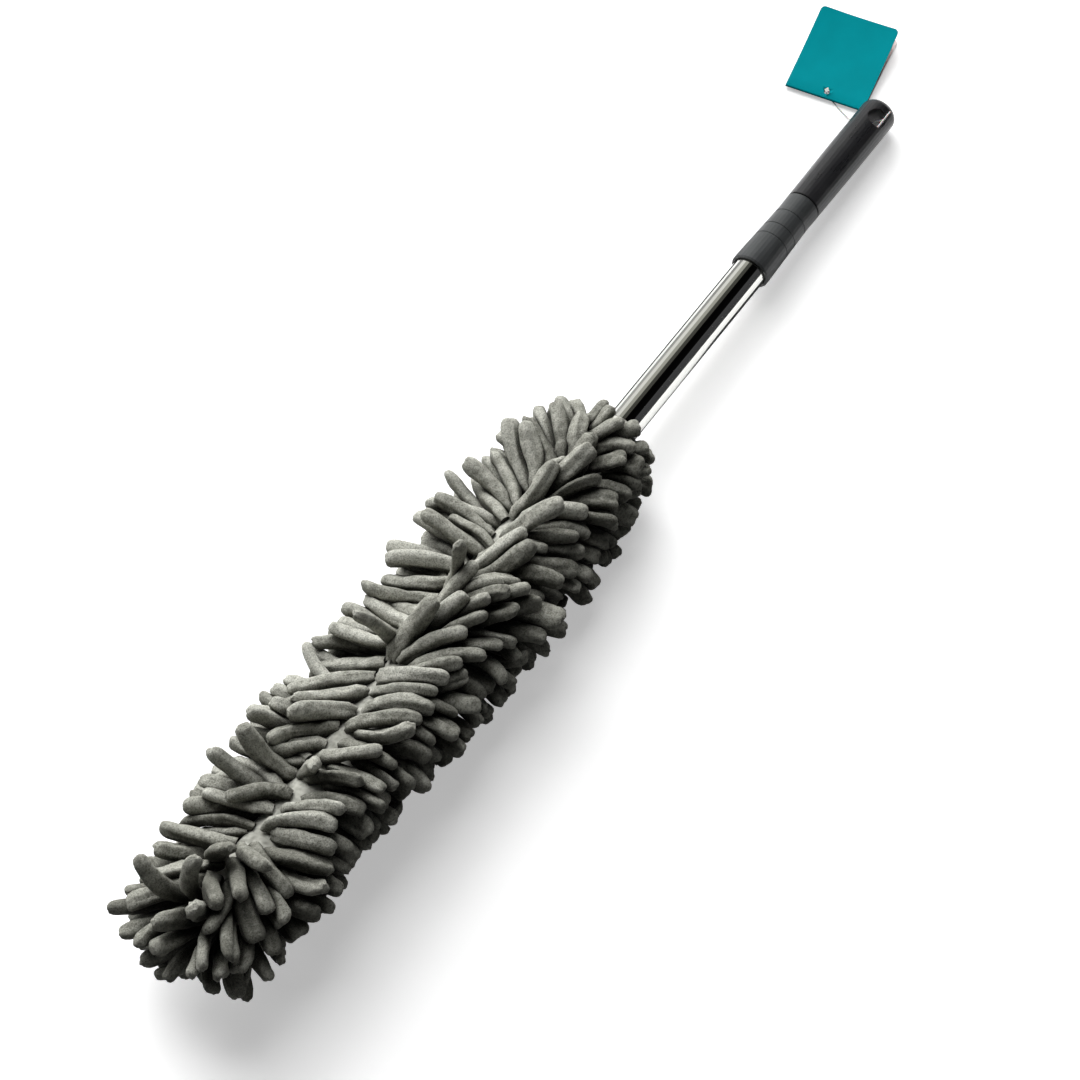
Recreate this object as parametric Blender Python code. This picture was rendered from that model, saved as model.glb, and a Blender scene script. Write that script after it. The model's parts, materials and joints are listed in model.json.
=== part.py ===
"""Telescopic microfiber duster with a chenille head and a folded card tag.

Lengths are in metres. The duster lies on the plane z = 0 with its head towards -X,
held up by the end of its grip and by the fingers under its head.

The pieces of the pole are modelled along a local Z axis that starts at the centre of
the grip's rounded end and runs towards the head. Local X points up and local Y to the
far side, where the card lies. A "station" is a distance along that axis, and a side
angle is measured from up towards the far side.
"""

import math
import random

import bmesh
import bpy
from mathutils import Matrix, Vector

# How the duster lies, and what all pieces share
TILT = math.radians(3.4)
TURN = math.radians(360.0)
QUARTER = TURN / 4.0
FIT_GAP = 0.0003
CUT_OVERRUN = 0.004
MERGE_DISTANCE = 0.000001
ROUND_STEPS = 32
SMALL_STEPS = 16
SMOOTH_ANGLE = math.radians(40.0)

# Grip
GRIP_RADIUS = 0.01035
GRIP_LENGTH = 0.085
GRIP_TAPER = 0.00035
GRIP_TAPER_START = 0.045
GRIP_END_FILLET = 0.0050
GRIP_EDGE_FILLET = 0.0006
GRIP_WALL = 0.0021
GRIP_WEB = 0.0038
HANG_HOLE_RADIUS = 0.00575
HANG_HOLE_MARGIN = 0.00765
HANG_HOLE_TURN = math.radians(25.0)

# Collar between the grip and the outer tube
COLLAR_LENGTH = 0.056
COLLAR_SPIGOT_LENGTH = 0.014
COLLAR_SPIGOT_WALL = 0.00135
COLLAR_WAIST_SPAN = 0.010
COLLAR_WAIST_DEPTH = 0.00015
COLLAR_SEAT_LENGTH = 0.024
COLLAR_SEAT_WALL = 0.00078
COLLAR_RIM_WALL = 0.00145
COLLAR_RIM_LENGTH = 0.0045
COLLAR_RIM_LIP = 0.0011
RING_GROOVE_DEPTH = 0.0003
RING_GROOVE_WIDTH = 0.0013
RING_GROOVE_PLACE_SHARES = (0.25, 0.45, 0.60)

# Telescopic pole
TUBE_RADIUS = 0.0095
TUBE_WALL = 0.0005
TUBE_SHOWING = 0.127
INNER_TUBE_RADIUS = 0.0075
INNER_TUBE_WALL = 0.0005
BUSH_LENGTH = 0.012
BUSH_FLANGE = 0.0020
TRAVEL_MARGIN = 0.0020

# Twist lock inside the outer tube
LOCK_CLEARANCE = 0.00045
LOCK_OFFSET = 0.0006
GUIDE_RING_LENGTH = 0.0060
CAM_RING_LENGTH = 0.0080
CAM_JOURNAL_RADIUS = 0.0044
CAM_SLOT_WIDTH = 0.0030
PLUG_SHOULDER = 0.0020
PLUG_LENGTH = 0.026
PLUG_PIN_RADIUS = 0.0012
PLUG_PIN_INSET = 0.0120
END_CAP_LENGTH = 0.0020
END_CAP_RADIUS = 0.0078
SCREW_RADIUS = 0.0014
SCREW_LENGTH = 0.0160
SCREW_HEAD_RADIUS = 0.0029
SCREW_HEAD_LENGTH = 0.0020

# Head socket and core
SOCKET_NECK_RADIUS = 0.0105
SOCKET_NECK_LENGTH = 0.0140
SOCKET_SEAT_LENGTH = 0.0275
SOCKET_FLANGE = 0.0030
SOCKET_WEB = 0.0012
RIVET_RADIUS = 0.0015
RIVET_HEAD_RADIUS = 0.0026
RIVET_HEAD_HEIGHT = 0.0009
WIRE_RADIUS = 0.0020
WIRE_ANCHOR = 0.0040
WIRE_TIP_LENGTH = 0.0080
TIP_CAP_INSET = 0.0090
TIP_CAP_EDGE = 0.0100
TIP_CAP_SIDE_GAP = 0.0018
TIP_CAP_END_GAP = 0.0021

# Chenille sleeve: a knitted backing in slices, with a gathered hem and a sewn end
SLEEVE_RADIUS = 0.0165
SLEEVE_WALL = 0.0015
SLEEVE_COLUMNS = 22
SLICE_COUNT = 8
SLICE_ROWS = 4
ROW_PITCH = 0.0103
HEM_LENGTH = 0.0100
HEM_NECK_LENGTH = 0.0027
HEM_WALL = 0.0012
HEM_INSET = 0.0030
ELASTIC_RADIUS = 0.0009
END_DOME_DEPTH = 0.0130
END_DOME_COLUMNS = 12
END_DOME_TURN_SHARES = (0.0, 0.45, 0.8)

# Chenille fingers
FINGER_WIDTH = 0.0072
FINGER_TIP_WIDTH = 0.0046
FINGER_LENGTH = 0.033
FINGER_SPREAD = 0.0028
FINGER_FAR_EXTRA = 0.0050
FINGER_FAR_TURN = math.radians(66.6)
FINGER_LEAN = 0.0045
FINGER_FAR_LEAN = 0.0060
FINGER_NEAR_LEAN = 0.0090
FINGER_SWAY = 0.0030
FINGER_SWAY_PERIOD = 0.090
FINGER_END_LEAN = 0.0130
FINGER_END_REACH = 0.030
FINGER_END_LENGTH = 0.0260
FINGER_END_FORWARD_SHARES = (0.15, 0.8)
FINGER_SHOULDER_SHARE = 0.74
PARTING_TURN = math.radians(34.0)
PARTING_JUMP = math.radians(18.0)
PARTING_WIDTH = math.radians(36.0)
PARTING_SPREAD = math.radians(10.0)
PARTING_DIP_SHARE = 0.8
PARTING_DIP_WIDTH = math.radians(30.0)
PRESSED_LENGTH = 0.0292
FLAT_CUT = 0.0005
SEED = 7

# Card tag, folded once
CARD_WIDTH = 0.0464
CARD_LEAF = 0.0570
CARD_THICKNESS = 0.00045
CARD_FOLD_RADIUS = 0.0004
CARD_FOLD_STEPS = 6
CARD_OPENING = math.radians(8.5)
CARD_CORNER = 0.0026
CARD_TURN = math.radians(10.0)
CARD_SIDE_GAP = 0.0007
CARD_END_OVERLAP = 0.0046
CARD_FOLD_HEIGHT = 0.0012
PUNCH_RADIUS = 0.0016
PUNCH_INSET = 0.0043

# Nylon tag pin: a bar over the hang hole, a strand through it and a paddle on the card
PIN_RADIUS = 0.00035
PIN_BEND_RADIUS = 0.0009
PIN_BAR_RADIUS = 0.0005
PIN_BAR_LENGTH = 0.0140
PIN_BAR_SHIFT = 0.0014
PIN_BAR_TURN = math.radians(-42.0)
PIN_EXIT_TURN = math.radians(27.0)
PADDLE_LENGTH = 0.0040
PADDLE_WIDTH = 0.0028
PADDLE_THICKNESS = 0.0007

# Sizes that follow from the ones above
GRIP_BORE = GRIP_RADIUS - GRIP_WALL
GRIP_NECK_RADIUS = GRIP_RADIUS - GRIP_TAPER
COLLAR_SPIGOT_RADIUS = GRIP_BORE - FIT_GAP
COLLAR_THROAT_RADIUS = COLLAR_SPIGOT_RADIUS - COLLAR_SPIGOT_WALL
COLLAR_SEAT_RADIUS = TUBE_RADIUS + FIT_GAP
TUBE_BORE = TUBE_RADIUS - TUBE_WALL
GUIDE_JOURNAL_RADIUS = CAM_JOURNAL_RADIUS + LOCK_OFFSET + FIT_GAP
PLUG_RADIUS = INNER_TUBE_RADIUS - INNER_TUBE_WALL - FIT_GAP
SOCKET_LENGTH = SOCKET_SEAT_LENGTH + FIT_GAP + SOCKET_WEB + WIRE_ANCHOR
SLEEVE_BORE = SLEEVE_RADIUS - SLEEVE_WALL
SLEEVE_FLAT_SHARE = math.cos(TURN / (2 * SLEEVE_COLUMNS))
CORE_RADIUS = SLEEVE_BORE * SLEEVE_FLAT_SHARE - FIT_GAP
HEM_NECK_BORE = (SOCKET_NECK_RADIUS + FIT_GAP) / SLEEVE_FLAT_SHARE
SLICE_LENGTH = SLICE_ROWS * ROW_PITCH

# Stations along the axis, from the grip's end to the tip
HANG_HOLE_STATION = HANG_HOLE_MARGIN + HANG_HOLE_RADIUS
GRIP_BORE_START = HANG_HOLE_STATION + HANG_HOLE_RADIUS + GRIP_WEB
COLLAR_END = GRIP_LENGTH + COLLAR_LENGTH
TUBE_START = COLLAR_END - COLLAR_SEAT_LENGTH
TUBE_END = COLLAR_END + TUBE_SHOWING
BUSH_START = TUBE_END - BUSH_LENGTH
BUSH_END = TUBE_END + FIT_GAP + BUSH_FLANGE
SCREW_START = TUBE_START + TRAVEL_MARGIN
END_CAP_START = SCREW_START + SCREW_HEAD_LENGTH + FIT_GAP
CAM_RING_START = END_CAP_START + END_CAP_LENGTH + FIT_GAP
GUIDE_RING_START = CAM_RING_START + CAM_RING_LENGTH + FIT_GAP
SHOULDER_START = GUIDE_RING_START + GUIDE_RING_LENGTH + FIT_GAP
INNER_TUBE_START = SHOULDER_START + PLUG_SHOULDER + FIT_GAP
SOCKET_START = BUSH_END + FIT_GAP
INNER_TUBE_END = SOCKET_START + SOCKET_SEAT_LENGTH
SOCKET_END = SOCKET_START + SOCKET_LENGTH
RIVET_STATION = SOCKET_START + SOCKET_NECK_LENGTH - RIVET_HEAD_RADIUS
HEM_START = SOCKET_START + HEM_INSET
SLEEVE_START = HEM_START + HEM_LENGTH
SLEEVE_END = SLEEVE_START + SLICE_COUNT * SLICE_LENGTH
TIP_CAP_START = SLEEVE_END - TIP_CAP_INSET
TIP_CAP_END = SLEEVE_END + END_DOME_DEPTH - SLEEVE_WALL - TIP_CAP_END_GAP
CORE_START = SOCKET_END + FIT_GAP
CORE_END = TIP_CAP_START - FIT_GAP

# Finishes: linear colour, roughness and metallic value
FINISHES = {
    "gloss_black": ((0.012, 0.012, 0.013), 0.28, 0.0),
    "matt_grey": ((0.060, 0.062, 0.062), 0.55, 0.0),
    "chrome": ((0.80, 0.80, 0.78), 0.07, 1.0),
    "steel": ((0.55, 0.55, 0.54), 0.32, 1.0),
    "white_acetal": ((0.62, 0.62, 0.58), 0.45, 0.0),
    "dark_plastic": ((0.020, 0.020, 0.021), 0.45, 0.0),
    "foam": ((0.46, 0.46, 0.44), 0.90, 0.0),
    "chenille": ((0.135, 0.135, 0.118), 0.95, 0.0),
    "elastic": ((0.05, 0.05, 0.05), 0.85, 0.0),
    "teal_card": ((0.0, 0.285, 0.325), 0.5, 0.0),
    "nylon": ((0.80, 0.80, 0.78), 0.35, 0.0),
}


# Placing and joining

def empty(name, parent=None, place=Matrix.Identity(4)):
    """A frame that pieces are placed by."""
    frame = bpy.data.objects.new(name, None)
    bpy.context.scene.collection.objects.link(frame)
    frame.parent = parent
    frame.matrix_local = place
    return frame


def principled(name, colour, roughness, metallic):
    """A Principled material for one piece."""
    material = bpy.data.materials.new(name)
    material.use_nodes = True
    shader = material.node_tree.nodes["Principled BSDF"]
    shader.inputs["Base Color"].default_value = (*colour, 1.0)
    shader.inputs["Roughness"].default_value = roughness
    shader.inputs["Metallic"].default_value = metallic
    material.diffuse_color = (*colour, 1.0)
    return material


def piece(name, solid, finish, parent, place=Matrix.Identity(4)):
    """Turn a bmesh into a named object with outward faces and its own material."""
    bmesh.ops.recalc_face_normals(solid, faces=solid.faces)
    mesh = bpy.data.meshes.new(name)
    solid.to_mesh(mesh)
    solid.free()
    mesh.shade_smooth()
    mesh.set_sharp_from_angle(angle=SMOOTH_ANGLE)
    obj = bpy.data.objects.new(name, mesh)
    bpy.context.scene.collection.objects.link(obj)
    obj.parent = parent
    obj.matrix_local = place
    if finish:
        mesh.materials.append(principled(name + "_" + finish, *FINISHES[finish]))
    return obj


def guide(name, solid, parent, place=Matrix.Identity(4)):
    """A body that only cuts or joins others."""
    obj = piece(name, solid, None, parent, place)
    obj.hide_render = True
    obj.display_type = "WIRE"
    return obj


def combine(target, tool, operation="DIFFERENCE"):
    """Cut a guide out of a piece, or join it to the piece."""
    modifier = target.modifiers.new(tool.name, "BOOLEAN")
    modifier.operation = operation
    modifier.object = tool


# Shapes

def turned(profile, steps=ROUND_STEPS, closed=True, centre=(0.0, 0.0)):
    """Spin (station, radius) points about an axis parallel to local Z."""
    solid = bmesh.new()
    middle = Vector((*centre, 0.0))
    points = [solid.verts.new(middle + Vector((radius, 0.0, station)))
              for station, radius in profile]
    ends = points[1:] + points[:1] if closed else points[1:]
    edges = [solid.edges.new(pair) for pair in zip(points, ends)]
    bmesh.ops.spin(solid, geom=points + edges, cent=middle, axis=(0.0, 0.0, 1.0),
                   angle=TURN, steps=steps, use_merge=True)
    bmesh.ops.remove_doubles(solid, verts=solid.verts, dist=MERGE_DISTANCE)
    bmesh.ops.dissolve_degenerate(solid, edges=solid.edges, dist=MERGE_DISTANCE)
    return solid


def plain_tube(start, end, outer, inner, chamfer=0.0):
    """Closed profile of a tube, with its outer corners chamfered if asked."""
    if not chamfer:
        return [(start, outer), (end, outer), (end, inner), (start, inner)]
    return [(start, outer - chamfer), (start + chamfer, outer), (end - chamfer, outer),
            (end, outer - chamfer), (end, inner), (start, inner)]


def arc(station, centre_radius, radius, first, last, steps=4):
    """Arc in the profile plane. Angle 0 points away from the axis."""
    turns = [first + (last - first) * step / steps for step in range(steps + 1)]
    return [(station + radius * math.sin(turn), centre_radius + radius * math.cos(turn))
            for turn in turns]


def ring(solid, radius, place, steps=ROUND_STEPS):
    """A circle of edges across a placement's Z axis."""
    made = bmesh.ops.create_circle(solid, segments=steps, radius=radius, matrix=place)
    return list(dict.fromkeys(edge for vertex in made["verts"] for edge in vertex.link_edges))


def skin(solid, rings):
    """Join rings of edges one after the other, and close both ends."""
    for first, second in zip(rings, rings[1:]):
        bmesh.ops.bridge_loops(solid, edges=first + second)
    bmesh.ops.contextual_create(solid, geom=rings[0])
    bmesh.ops.contextual_create(solid, geom=rings[-1])


def round_bar(length, radius, steps=SMALL_STEPS):
    """A plain bar centred on the origin, along local Z."""
    solid = bmesh.new()
    bmesh.ops.create_cone(solid, cap_ends=True, segments=steps, radius1=radius,
                          radius2=radius, depth=length)
    return solid


def strand(points, radius, steps=SMALL_STEPS // 2):
    """A bent round strand through a list of points."""
    solid = bmesh.new()
    rings = []
    for index, point in enumerate(points):
        before = points[max(index - 1, 0)]
        after = points[min(index + 1, len(points) - 1)]
        aim = (after - before).to_track_quat("Z", "Y").to_matrix().to_4x4()
        rings.append(ring(solid, radius, Matrix.Translation(point) @ aim, steps))
    skin(solid, rings)
    return solid


def across(station, turn=0.0):
    """Placement that lays a bar across the axis at a station and a side angle."""
    lay = Matrix.Rotation(QUARTER, 4, "Y")
    return Matrix.Translation((0.0, 0.0, station)) @ Matrix.Rotation(turn, 4, "Z") @ lay


def around(radius, angle, station):
    """Point at a side angle on a circle about the axis."""
    return Vector((radius * math.cos(angle), radius * math.sin(angle), station))


# How the duster lies

def end_height():
    """Height of the axis at the grip's end, whose fillet touches the ground."""
    straight = (GRIP_RADIUS - GRIP_END_FILLET) * math.cos(TILT)
    return straight + GRIP_END_FILLET * (1.0 - math.sin(TILT))


def ground_depth(station):
    """How far the ground lies below the axis, along local -X."""
    return (end_height() + station * math.sin(TILT)) / math.cos(TILT)


def lying():
    """Placement of the axis: local Z towards the head, local X up."""
    turn = Matrix.Rotation(TILT - QUARTER, 4, "Y")
    return Matrix.Translation((0.0, 0.0, end_height())) @ turn


# Handle

def make_grip(axis):
    """Grip with a rounded end, a slight taper, a blind bore and the hang hole."""
    outline = [(0.0, 0.0)]
    outline += arc(GRIP_END_FILLET, GRIP_RADIUS - GRIP_END_FILLET, GRIP_END_FILLET,
                   -QUARTER, 0.0, 6)
    outline += [(GRIP_TAPER_START, GRIP_RADIUS)]
    outline += arc(GRIP_LENGTH - GRIP_EDGE_FILLET, GRIP_NECK_RADIUS - GRIP_EDGE_FILLET,
                   GRIP_EDGE_FILLET, 0.0, QUARTER, 2)
    outline += [(GRIP_LENGTH, GRIP_BORE), (GRIP_BORE_START, GRIP_BORE),
                (GRIP_BORE_START, 0.0)]
    grip = piece("grip", turned(outline, closed=False), "gloss_black", axis)
    hole = round_bar((GRIP_RADIUS + CUT_OVERRUN) * 2.0, HANG_HOLE_RADIUS, ROUND_STEPS)
    combine(grip, guide("hang_hole_cutter", hole, axis,
                        across(HANG_HOLE_STATION, -HANG_HOLE_TURN)))


def collar_outline():
    """Outside of the collar: waist, flare, rim and the ring grooves between them."""
    waist_radius = GRIP_NECK_RADIUS - COLLAR_WAIST_DEPTH
    main = [(GRIP_LENGTH + FIT_GAP + GRIP_EDGE_FILLET, GRIP_NECK_RADIUS),
            (GRIP_LENGTH + COLLAR_WAIST_SPAN, waist_radius),
            (TUBE_START, COLLAR_SEAT_RADIUS + COLLAR_SEAT_WALL),
            (COLLAR_END - COLLAR_RIM_LENGTH, COLLAR_SEAT_RADIUS + COLLAR_RIM_WALL),
            (COLLAR_END - COLLAR_RIM_LIP, COLLAR_SEAT_RADIUS + COLLAR_RIM_WALL)]
    grooves = []
    for place_share in RING_GROOVE_PLACE_SHARES:
        first = GRIP_LENGTH + COLLAR_LENGTH * place_share
        for along_share, depth_share in ((0.0, 0.0), (0.2, 1.0), (0.8, 1.0), (1.0, 0.0)):
            station = first + RING_GROOVE_WIDTH * along_share
            depth = RING_GROOVE_DEPTH * depth_share
            grooves.append((station, radius_on(main, station) - depth))
    return sorted(main + grooves)


def radius_on(outline, station):
    """Radius of a piecewise straight outline at a station."""
    for (start, first), (end, last) in zip(outline, outline[1:]):
        if start <= station <= end:
            return first + (last - first) * (station - start) / (end - start)
    return outline[-1][1]


def make_collar(axis):
    """Collar: a spigot in the grip, the flared outside and the tube's seat."""
    start = GRIP_LENGTH + FIT_GAP
    step = TUBE_START - FIT_GAP
    outline = [(start - COLLAR_SPIGOT_LENGTH, COLLAR_SPIGOT_RADIUS),
               (start, COLLAR_SPIGOT_RADIUS), (start, GRIP_NECK_RADIUS - GRIP_EDGE_FILLET)]
    outline += collar_outline()
    outline += [(COLLAR_END, COLLAR_SEAT_RADIUS + COLLAR_RIM_WALL - COLLAR_RIM_LIP / 2.0),
                (COLLAR_END, COLLAR_SEAT_RADIUS), (step, COLLAR_SEAT_RADIUS),
                (step, COLLAR_THROAT_RADIUS),
                (start - COLLAR_SPIGOT_LENGTH, COLLAR_THROAT_RADIUS)]
    piece("grip_collar", turned(outline), "matt_grey", axis)


def make_outer_tube(axis):
    """Outer steel tube and the bush in its mouth."""
    piece("outer_tube", turned(plain_tube(TUBE_START, TUBE_END, TUBE_RADIUS, TUBE_BORE)),
          "chrome", axis)
    body = TUBE_BORE - FIT_GAP
    bore = INNER_TUBE_RADIUS + FIT_GAP
    flange = TUBE_END + FIT_GAP
    edge = BUSH_FLANGE / 4.0
    outline = [(BUSH_START, body), (flange, body), (flange, TUBE_RADIUS),
               (BUSH_END - edge, TUBE_RADIUS), (BUSH_END, TUBE_RADIUS - edge),
               (BUSH_END, bore), (BUSH_START, bore)]
    piece("tube_mouth_bush", turned(outline), "white_acetal", axis)


# Twist lock

def make_guide_ring(axis):
    """Plain ring that centres the pole and slides in the outer tube."""
    outline = plain_tube(GUIDE_RING_START, GUIDE_RING_START + GUIDE_RING_LENGTH,
                         TUBE_BORE - FIT_GAP, GUIDE_JOURNAL_RADIUS + FIT_GAP, FIT_GAP)
    piece("guide_ring", turned(outline), "white_acetal", axis)


def make_lock_plug(axis, cam_axis, pin_hole):
    """Plug with a shoulder, the guide ring's journal and the eccentric cam journal."""
    end = INNER_TUBE_START + PLUG_LENGTH
    shoulder_end = SHOULDER_START + PLUG_SHOULDER
    outline = [(GUIDE_RING_START, 0.0), (GUIDE_RING_START, GUIDE_JOURNAL_RADIUS),
               (SHOULDER_START, GUIDE_JOURNAL_RADIUS), (SHOULDER_START, INNER_TUBE_RADIUS),
               (shoulder_end, INNER_TUBE_RADIUS), (shoulder_end, PLUG_RADIUS),
               (end - FIT_GAP, PLUG_RADIUS), (end, PLUG_RADIUS - FIT_GAP), (end, 0.0)]
    plug = piece("lock_plug", turned(outline, closed=False), "white_acetal", axis)
    journal_end = GUIDE_RING_START + GUIDE_RING_LENGTH / 2.0
    journal = [(CAM_RING_START, 0.0), (CAM_RING_START, CAM_JOURNAL_RADIUS),
               (journal_end, CAM_JOURNAL_RADIUS), (journal_end, 0.0)]
    combine(plug, guide("cam_journal_guide", turned(journal, closed=False), cam_axis),
            "UNION")
    bore = [(CAM_RING_START - CUT_OVERRUN, 0.0),
            (CAM_RING_START - CUT_OVERRUN, SCREW_RADIUS + FIT_GAP),
            (CAM_RING_START + SCREW_LENGTH, SCREW_RADIUS + FIT_GAP),
            (CAM_RING_START + SCREW_LENGTH, 0.0)]
    combine(plug, guide("screw_hole_cutter", turned(bore, SMALL_STEPS, closed=False), axis))
    combine(plug, pin_hole)


def make_cam_ring(cam_axis):
    """Split ring on the eccentric journal. Its outside is centred on the pole."""
    end = CAM_RING_START + CAM_RING_LENGTH
    middle = Matrix.Translation((0.0, 0.0, (CAM_RING_START + end) / 2.0))
    radius = TUBE_BORE - LOCK_CLEARANCE
    disc = [(CAM_RING_START, 0.0), (CAM_RING_START, radius - FIT_GAP),
            (CAM_RING_START + FIT_GAP, radius), (end - FIT_GAP, radius),
            (end, radius - FIT_GAP), (end, 0.0)]
    cam = piece("cam_ring", turned(disc, closed=False, centre=(-LOCK_OFFSET, 0.0)),
                "white_acetal", cam_axis)
    overrun = CAM_RING_LENGTH + CUT_OVERRUN
    bore = round_bar(overrun, CAM_JOURNAL_RADIUS + FIT_GAP, ROUND_STEPS)
    combine(cam, guide("cam_bore_cutter", bore, cam_axis, middle))
    slot = bmesh.new()
    bmesh.ops.create_cube(slot, size=1.0)
    bmesh.ops.scale(slot, vec=(TUBE_RADIUS, CAM_SLOT_WIDTH, overrun), verts=slot.verts)
    bmesh.ops.translate(slot, vec=(TUBE_RADIUS / 2.0 + SCREW_RADIUS, 0.0, 0.0),
                        verts=slot.verts)
    combine(cam, guide("cam_slot_cutter", slot, cam_axis, middle))


def make_lock_ends(axis):
    """End cap, its screw, and the cross pin that holds the plug in the inner tube."""
    cap = plain_tube(END_CAP_START, END_CAP_START + END_CAP_LENGTH, END_CAP_RADIUS,
                     SCREW_RADIUS + FIT_GAP, FIT_GAP)
    piece("lock_end_cap", turned(cap), "white_acetal", axis)
    head_end = SCREW_START + SCREW_HEAD_LENGTH
    edge = SCREW_HEAD_LENGTH / 4.0
    tip = END_CAP_START + SCREW_LENGTH
    screw = [(SCREW_START, 0.0), (SCREW_START, SCREW_HEAD_RADIUS - edge),
             (SCREW_START + edge, SCREW_HEAD_RADIUS), (head_end, SCREW_HEAD_RADIUS),
             (head_end, SCREW_RADIUS), (tip - SCREW_RADIUS, SCREW_RADIUS), (tip, 0.0)]
    piece("lock_screw", turned(screw, SMALL_STEPS, closed=False), "steel", axis)
    piece("plug_pin", round_bar(INNER_TUBE_RADIUS * 2.0, PLUG_PIN_RADIUS), "steel", axis,
          across(INNER_TUBE_START + PLUG_PIN_INSET))


# Pole and head core

def make_inner_tube(axis, pin_hole, rivet_hole):
    """Inner steel tube with its pin and rivet holes."""
    outline = plain_tube(INNER_TUBE_START, INNER_TUBE_END, INNER_TUBE_RADIUS,
                         INNER_TUBE_RADIUS - INNER_TUBE_WALL)
    tube = piece("inner_tube", turned(outline), "chrome", axis)
    combine(tube, pin_hole)
    combine(tube, rivet_hole)


def make_head_socket(axis, rivet_hole):
    """Socket between the pole and the core: neck, cone, flange and wire anchor."""
    seat = INNER_TUBE_RADIUS + FIT_GAP
    anchor = WIRE_RADIUS + FIT_GAP
    web = INNER_TUBE_END + FIT_GAP
    edge = SOCKET_FLANGE / 4.0
    outline = [(web, 0.0), (web, seat), (SOCKET_START, seat),
               (SOCKET_START, SOCKET_NECK_RADIUS - edge),
               (SOCKET_START + edge, SOCKET_NECK_RADIUS),
               (SOCKET_START + SOCKET_NECK_LENGTH, SOCKET_NECK_RADIUS),
               (SOCKET_END - SOCKET_FLANGE, CORE_RADIUS), (SOCKET_END - edge, CORE_RADIUS),
               (SOCKET_END, CORE_RADIUS - edge), (SOCKET_END, anchor),
               (SOCKET_END - WIRE_ANCHOR, anchor), (SOCKET_END - WIRE_ANCHOR, 0.0)]
    socket = piece("head_socket", turned(outline, closed=False), "dark_plastic", axis)
    combine(socket, rivet_hole)


def make_rivet(axis):
    """Rivet across the socket and the inner tube, with a domed head at each end."""
    seat = SOCKET_NECK_RADIUS + FIT_GAP
    dome_shares = [(1.0, 0.0), (0.75, 0.5), (0.4, 0.85), (0.0, 1.0)]
    heads = [(seat + RIVET_HEAD_HEIGHT * rise, RIVET_HEAD_RADIUS * out)
             for out, rise in dome_shares]
    half = [(seat, RIVET_RADIUS)] + heads
    outline = [(-station, radius) for station, radius in reversed(half)] + half
    piece("socket_rivet", turned(outline, SMALL_STEPS, closed=False), "steel", axis,
          across(RIVET_STATION))


def make_core(axis):
    """Bendable wire, the foam rod round it and the rounded tip cap."""
    start = SOCKET_END - WIRE_ANCHOR + FIT_GAP
    end = TIP_CAP_START + WIRE_TIP_LENGTH
    wire = [(start, 0.0), (start, WIRE_RADIUS), (end, WIRE_RADIUS), (end, 0.0)]
    piece("core_wire", turned(wire, SMALL_STEPS, closed=False), "steel", axis)
    bore = WIRE_RADIUS + FIT_GAP
    steps = (ROUND_STEPS + SMALL_STEPS) // 2
    foam = plain_tube(CORE_START, CORE_END, CORE_RADIUS, bore)
    piece("core_foam", turned(foam, steps), "foam", axis)
    radius = SLEEVE_BORE - TIP_CAP_SIDE_GAP
    cap = [(end + FIT_GAP, 0.0), (end + FIT_GAP, bore), (TIP_CAP_START, bore),
           (TIP_CAP_START, radius)]
    cap += arc(TIP_CAP_END - TIP_CAP_EDGE, radius - TIP_CAP_EDGE, TIP_CAP_EDGE, 0.0, QUARTER)
    cap += [(TIP_CAP_END, 0.0)]
    piece("core_tip_cap", turned(cap, steps, closed=False), "dark_plastic", axis)


# Chenille sleeve

def make_hem(axis):
    """Gathered mouth of the sleeve and the elastic band round it."""
    end = SLEEVE_START - FIT_GAP / 2.0
    neck = HEM_START + HEM_NECK_LENGTH
    neck_radius = HEM_NECK_BORE + HEM_WALL
    outline = [(HEM_START, neck_radius), (neck, neck_radius), (end, SLEEVE_RADIUS),
               (end, SLEEVE_RADIUS - HEM_WALL), (neck, HEM_NECK_BORE),
               (HEM_START, HEM_NECK_BORE)]
    piece("sleeve_hem", turned(outline, SLEEVE_COLUMNS), "chenille", axis)
    band = arc(HEM_START + ELASTIC_RADIUS, neck_radius + FIT_GAP + ELASTIC_RADIUS,
               ELASTIC_RADIUS, 0.0, TURN, 6)
    piece("elastic_band", turned(band[:-1], SLEEVE_COLUMNS), "elastic", axis)


def press_down(point):
    """Press what hangs below the sleeve onto the ground, which cuts it flat."""
    ground = ground_depth(point.z)
    below = -point.x - SLEEVE_RADIUS
    if below > 0.0:
        room = ground + FLAT_CUT - SLEEVE_RADIUS
        below *= min(1.0, room / PRESSED_LENGTH)
        point.x = max(-SLEEVE_RADIUS - below, -ground)
    return point


def from_parting(angle):
    """Side angle from the parting, at most half a turn either way."""
    return (angle - PARTING_TURN + TURN / 2.0) % TURN - TURN / 2.0


def tip_angle(angle):
    """Side angle of a finger's tip: combed off the parting, crowded at the sides."""
    away = from_parting(angle)
    jump = PARTING_JUMP * math.exp(-abs(away) / PARTING_WIDTH)
    return angle + math.copysign(jump, away) + PARTING_SPREAD * math.sin(2.0 * away)


def reach_share(angle):
    """Share of its length that a finger stands out: it is combed flat at the parting."""
    spot = from_parting(angle) / PARTING_DIP_WIDTH
    return 1.0 - PARTING_DIP_SHARE * math.exp(-spot * spot)


def tip_lean(angle, station):
    """Lengthwise lean of a finger's tip: outwards at the head's ends, combed forwards on
    the far side of the parting and backwards on its near side."""
    back = math.exp((SLEEVE_START - station) / FINGER_END_REACH)
    front = math.exp((station - SLEEVE_END) / FINGER_END_REACH)
    sway = FINGER_SWAY * math.sin(TURN * station / FINGER_SWAY_PERIOD)
    away = from_parting(angle)
    comb = FINGER_FAR_LEAN if away > 0.0 else -FINGER_NEAR_LEAN
    return FINGER_END_LEAN * (front - back) + sway + comb * math.cos(away / 2.0)


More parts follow.
